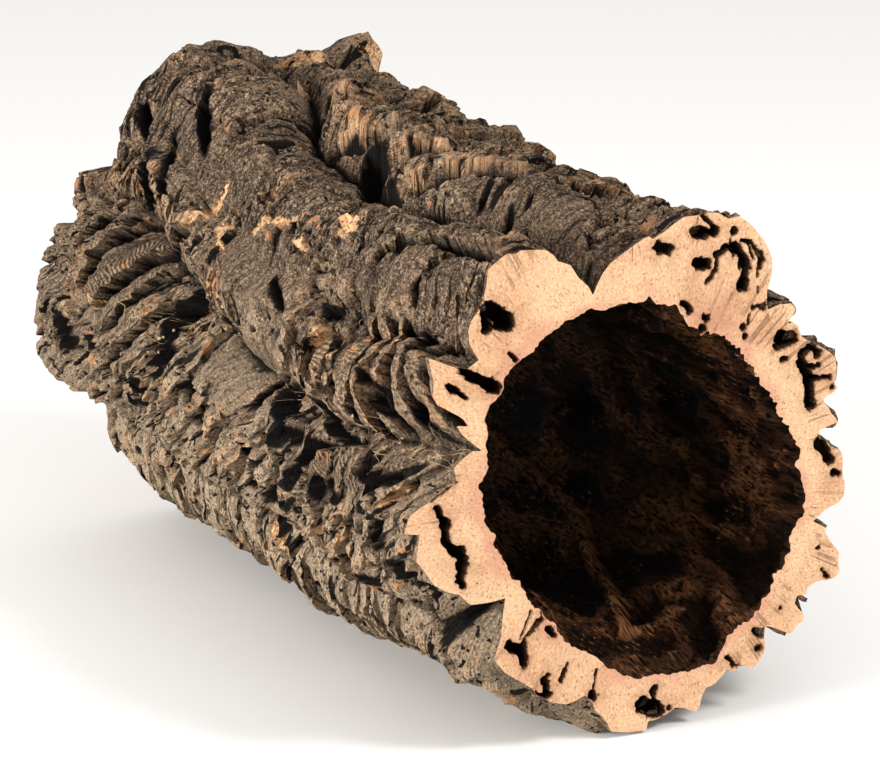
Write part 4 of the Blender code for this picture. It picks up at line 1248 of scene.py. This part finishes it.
def lay_finishes(piece, finishes):
    """Gives each face the finish of its region: bark, cut cork or bore."""
    mesh = piece.data
    mesh.materials.clear()
    for finish in finishes:
        mesh.materials.append(finish)
    corners = np.empty(len(mesh.loops), int)
    mesh.loops.foreach_get("vertex_index", corners)
    starts = np.empty(len(mesh.polygons), int)
    mesh.polygons.foreach_get("loop_start", starts)
    region = read_mark(mesh, "region")[corners]
    lowest = np.minimum.reduceat(region, starts)
    highest = np.maximum.reduceat(region, starts)
    cut = (highest > 0.5) & (lowest < 1.5)
    slots = np.where(highest < 0.5, 0, np.where(cut, 1, 2))
    mesh.polygons.foreach_set("material_index", slots.astype(np.int32))


lay_finishes(branch, (bark_finish(), cut_finish(), bore_finish()))
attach(branch, "root")
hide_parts("cork_tube")

# Loose fibres: dry straw-coloured threads of bast and root hair, caught in the furrows and in the holes.
# Each one is a round thread, bevelled along a bent path that keeps close to the bark below it.
# The patches give the place along the tube, angle, spread along and round it, count, and a thread's length.
FIBRE_PATCHES = (
    (-50, 168, 14, 5, 26, 13), (-28, 163, 12, 4, 22, 9), (5, 160, 14, 5, 12, 7), (134, 165, 12, 3, 26, 11),
    (110, 168, 14, 4, 16, 10), (60, 170, 16, 4, 14, 12), (8, 108, 12, 4, 12, 9), (70, 146, 8, 3, 8, 8),
    (-80, 330, 20, 8, 14, 12),
)
FIBRE_THICKNESS = 0.12
FIBRE_POINTS = 8
FIBRE_LIFT = 1.1
FIBRE_TURN = 0.55
FIBRE_CLEAR = 0.1
FIBRE_LENGTHS = (0.5, 1.3)
FIBRE_LIFTS = (0.4, 1.6)
FIBRE_GIRTHS = (0.5, 1.2)
FIBRE_TIP = 0.45
MOUTH_CLEAR = 0.5
OUTSIDE_START = 130.0


def surface_radius(place, angle):
    """How far the branch's bark is from its axis."""
    outward = Vector(on_cylinder(0, angle, 1.0))
    middle = Vector((place, AXIS_Y, AXIS_Z))
    found, spot, _, _ = branch.ray_cast((middle + outward * OUTSIDE_START) * MM, -outward)
    return (spot / MM - middle).length if found else PLAIN_BORE


def fibre_path(random, patch):
    """The points of one bent thread in a patch, lifted off the bark at its middle."""
    place, angle, along_spread, around_spread, _, length = patch
    x, turn = place + random.normal() * along_spread / 2, angle + random.normal() * around_spread / 2
    heading = random.uniform(0, 2 * np.pi)
    step = length * random.uniform(*FIBRE_LENGTHS) / FIBRE_POINTS
    lift = FIBRE_LIFT * random.uniform(*FIBRE_LIFTS)
    points = []
    for number in range(FIBRE_POINTS):
        radius = surface_radius(x, turn)
        points.append((x, turn, radius + (FIBRE_CLEAR + lift * np.sin(np.pi * number / (FIBRE_POINTS - 1)))))
        heading += FIBRE_TURN * random.normal()
        x = min(x + step * np.cos(heading), MOUTH_X - MOUTH_CLEAR)
        turn += np.degrees(step * np.sin(heading) / radius)
    places, turns, radii = np.array(points).T
    bridged = np.maximum(radii, np.convolve(np.pad(radii, 1, "edge"), np.ones(3) / 3, "valid"))
    return on_cylinder(places, turns, bridged) + (0, AXIS_Y, AXIS_Z)


def loose_fibres():
    random = np.random.default_rng(SEED)
    threads = bpy.data.curves.new("threads", "CURVE")
    threads.dimensions = "3D"
    threads.bevel_depth = FIBRE_THICKNESS * MM
    threads.bevel_resolution = 0
    threads.use_fill_caps = True
    for patch in FIBRE_PATCHES:
        for _ in range(patch[4]):
            spline = threads.splines.new("POLY")
            spline.points.add(FIBRE_POINTS - 1)
            path = np.column_stack((fibre_path(random, patch) * MM, np.ones(FIBRE_POINTS)))
            spline.points.foreach_set("co", path.ravel())
            taper = random.uniform(*FIBRE_GIRTHS) * np.linspace(1.0, FIBRE_TIP, FIBRE_POINTS)
            spline.points.foreach_set("radius", taper)
    return new_piece("loose_fibres", made_mesh(new_piece("threads", threads), "loose_fibres"))


def straw_finish(name, darker, lighter):
    material, tree, shader = new_finish(name, 0.8, 0.2)
    tone = ramp(tree, noise(tree, object_place(tree), 160.0, 2.0, 0.5), 0.42, 0.58)
    tree.links.new(mix(tree, tone, shade(*darker), shade(*lighter)), shader.inputs["Base Color"])
    return material


fibres_piece = loose_fibres()
fibres_piece.data.materials.clear()
fibres_piece.data.materials.append(straw_finish("straw", (84, 62, 44), (196, 164, 124)))
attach(fibres_piece, "root")

# Crumbs: pale grey and tan grains of old cork and dust, lodged in the furrows and beside the holes.
# Each one is a small ball, squashed, turned and dented, half sunk in the bark.
# The patches give the place along the tube, angle, spread along and round it, count, and a grain's size.
CRUMB_PATCHES = (
    (-10, 158, 20, 5, 50, 0.7), (-45, 172, 12, 5, 26, 0.7), (20, 190, 30, 9, 40, 0.7),
    (120, 166, 22, 4, 40, 0.7), (30, 114, 12, 4, 20, 0.7), (-120, 165, 22, 10, 30, 0.8),
    (60, 215, 60, 14, 70, 0.8), (-40, 325, 60, 20, 60, 0.8),
)
CRUMB_SINK = 0.35
CRUMB_SIZES = (0.4, 1.3)
CRUMB_SQUASH = (0.6, 1.2)
CRUMB_DENTS = (0.75, 1.15)


def crumbs():
    random = np.random.default_rng(SEED + 1)
    grains = bmesh.new()
    for place, angle, along_spread, around_spread, count, size in CRUMB_PATCHES:
        for _ in range(count):
            x = place + random.normal() * along_spread / 2
            turn = angle + random.normal() * around_spread / 2
            across = size * random.uniform(*CRUMB_SIZES)
            squash = Matrix.Diagonal((*(across * MM * random.uniform(*CRUMB_SQUASH, 3)), 1))
            turned = Matrix.Rotation(random.uniform(0, 2 * np.pi), 4, Vector(random.normal(size=3)))
            radius = surface_radius(x, turn) - CRUMB_SINK * across
            spot = Vector(on_cylinder(x, turn, radius)) + Vector((0, AXIS_Y, AXIS_Z))
            ball = bmesh.ops.create_icosphere(grains, subdivisions=1, radius=1.0)["verts"]
            for vertex in ball:
                vertex.co *= random.uniform(*CRUMB_DENTS)
            bmesh.ops.transform(grains, matrix=Matrix.Translation(spot * MM) @ turned @ squash, verts=ball)
    mesh = bpy.data.meshes.new("crumbs")
    grains.to_mesh(mesh)
    grains.free()
    return new_piece("crumbs", mesh)


crumbs_piece = crumbs()
crumbs_piece.data.materials.append(straw_finish("crumb", (104, 84, 66), (168, 148, 122)))
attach(crumbs_piece, "root")

# Bark curls: thin flakes of dead bark that stand off the right side of the sawn rim.
# Each one is a strip bent along its path in the mouth's plane, run back along the tube, and thickened.
# They are given as the path beside the axis, as across and up, how far back it runs, and its thickness.
CURLS = (
    (((45, 52.5), (49, 54), (54, 54.8), (57.5, 54), (59.3, 52), (58.5, 50), (56, 50.3), (55, 51.5)), 9, 1.1),
    (((43, 61), (46, 60), (50, 58), (54, 56), (56.5, 54.6)), 12, 1.3),
    (((68, 19), (72, 17), (75.5, 14), (77.3, 11), (76, 9), (73, 9.2), (70.5, 11)), 10, 1.2),
    (((66, -21), (69, -23.5), (72, -25), (74, -26.5)), 9, 1.4),
    (((56, -46), (60, -48), (64, -49.5), (67, -51.5)), 9, 1.4),
    (((52, -58), (55.5, -60), (59, -62.5)), 7, 1.6),
    (((64, 40), (68, 38.5), (71, 36), (72, 33)), 10, 1.2),
)
CURL_STEP = 0.8
CURL_BACK = 0.8
CURL_WOBBLE = 0.5
CURL_BEND = 3.5
CURL_NOTCH = 3.0
CURL_NOTCHED = 0.25
CURL_SHORTEST = 0.8


def curl_mesh(path, reach, seed):
    """The strip of one curl, as a sheet with its far edge uneven."""
    corners = np.array(path, float)
    runs = np.concatenate(([0], np.cumsum(np.hypot(*np.diff(corners, axis=0).T))))
    mesh, gone, back = flat_sheet(round(runs[-1] / CURL_STEP), round(reach / CURL_STEP))
    gone = gone * runs[-1]
    across, up = np.interp(gone, runs, corners[:, 0]), np.interp(gone, runs, corners[:, 1])
    torn = CURL_NOTCHED * lumps(np.column_stack((gone, 0 * gone, 0 * gone)), CURL_NOTCH, seed)
    along = MOUTH_X - CURL_BACK - back * reach * (CURL_SHORTEST + torn)
    points = np.column_stack((along, across + AXIS_Y, up + AXIS_Z))
    wobble = np.column_stack([lumps(points, CURL_BEND, seed + axis) for axis in (1, 2, 3)])
    points += CURL_WOBBLE * wobble * (-1, 1, 1)
    points[:, 0] = np.minimum(points[:, 0], MOUTH_X - CURL_BACK)
    mesh.vertices.foreach_set("co", (points * MM).ravel())
    return mesh


def bark_curls():
    joined = bmesh.new()
    for number, (path, reach, thickness) in enumerate(CURLS):
        strip = new_piece("curl", curl_mesh(path, reach, SEED + 200 + 5 * number))
        thick = strip.modifiers.new("bark", "SOLIDIFY")
        thick.thickness = thickness * MM
        thick.offset = 0
        joined.from_mesh(made_mesh(strip, "curl"))
    mesh = bpy.data.meshes.new("bark_curls")
    joined.to_mesh(mesh)
    joined.free()
    return new_piece("bark_curls", mesh)


curls_piece = bark_curls()
write_marks(curls_piece.data, {"grain": mesh_points(curls_piece.data) / MM})
curls_piece.data.materials.append(branch.data.materials[0])
smoothed(curls_piece)
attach(curls_piece, "root")

# The floor: a plain pale studio sheet
bpy.ops.mesh.primitive_plane_add(size=6.0, location=(0, 0, -0.0005))
floor = bpy.context.object
floor.name = "floor"
floor_finish = bpy.data.materials.new("floor")
floor_finish.use_nodes = True
floor_shader = floor_finish.node_tree.nodes["Principled BSDF"]
floor_shader.inputs["Base Color"].default_value = shade(240, 238, 235)
floor_shader.inputs["Roughness"].default_value = 0.9
floor.data.materials.append(floor_finish)

# The light: one large soft key above the right shoulder, a fill from the left, and a pale room
world = bpy.data.worlds.new("room")
bpy.context.scene.world = world
world.use_nodes = True
world.node_tree.nodes["Background"].inputs["Color"].default_value = shade(250, 250, 250)
world.node_tree.nodes["Background"].inputs["Strength"].default_value = 0.9


def soft_light(name, place, target, size, power):
    light = bpy.data.lights.new(name, "AREA")
    light.shape = "DISK"
    light.size = size
    light.energy = power
    lamp = bpy.data.objects.new(name, light)
    lamp.location = place
    lamp.rotation_euler = (Vector(target) - Vector(place)).to_track_quat("-Z", "Y").to_euler()
    bpy.context.scene.collection.objects.link(lamp)


TUBE_MIDDLE = (0, 0, AXIS_Z * MM)
soft_light("key", (0.9, 0.5, 1.1), TUBE_MIDDLE, 0.4, 11.5)
soft_light("fill", (0.05, -1.4, 0.28), TUBE_MIDDLE, 0.7, 34)

# The camera: in front of the mouth, to its left and a little above, with a long lens
CAMERA_TURN = np.radians(28)
CAMERA_RISE = np.radians(16)
FRAME_WIDTH, FRAME_HEIGHT = 880, 768
SENSOR = 36
FOCAL_PIXELS = 4000
PIXELS_PER_MM = 520 / 170
MOUTH_AT_PIXEL = (640, 484)

back = Vector(
    (
        np.cos(CAMERA_TURN) * np.cos(CAMERA_RISE),
        -np.sin(CAMERA_TURN) * np.cos(CAMERA_RISE),
        np.sin(CAMERA_RISE),
    )
)
right = Vector((np.sin(CAMERA_TURN), np.cos(CAMERA_TURN), 0))
up = back.cross(right)
distance = FOCAL_PIXELS / PIXELS_PER_MM
shift_right = (MOUTH_AT_PIXEL[0] - FRAME_WIDTH / 2) / PIXELS_PER_MM
shift_up = (FRAME_HEIGHT / 2 - MOUTH_AT_PIXEL[1]) / PIXELS_PER_MM
mouth_middle = Vector((MOUTH_X, AXIS_Y, AXIS_Z))
camera = bpy.data.cameras.new("camera")
camera.sensor_width = SENSOR
camera.lens = FOCAL_PIXELS / FRAME_WIDTH * SENSOR
camera_object = bpy.data.objects.new("camera", camera)
placed = Matrix((right, up, back)).transposed().to_4x4()
placed.translation = (mouth_middle + back * distance - right * shift_right - up * shift_up) * MM
camera_object.matrix_world = placed
bpy.context.scene.collection.objects.link(camera_object)
bpy.context.scene.camera = camera_object
bpy.context.scene.view_settings.view_transform = "Standard"
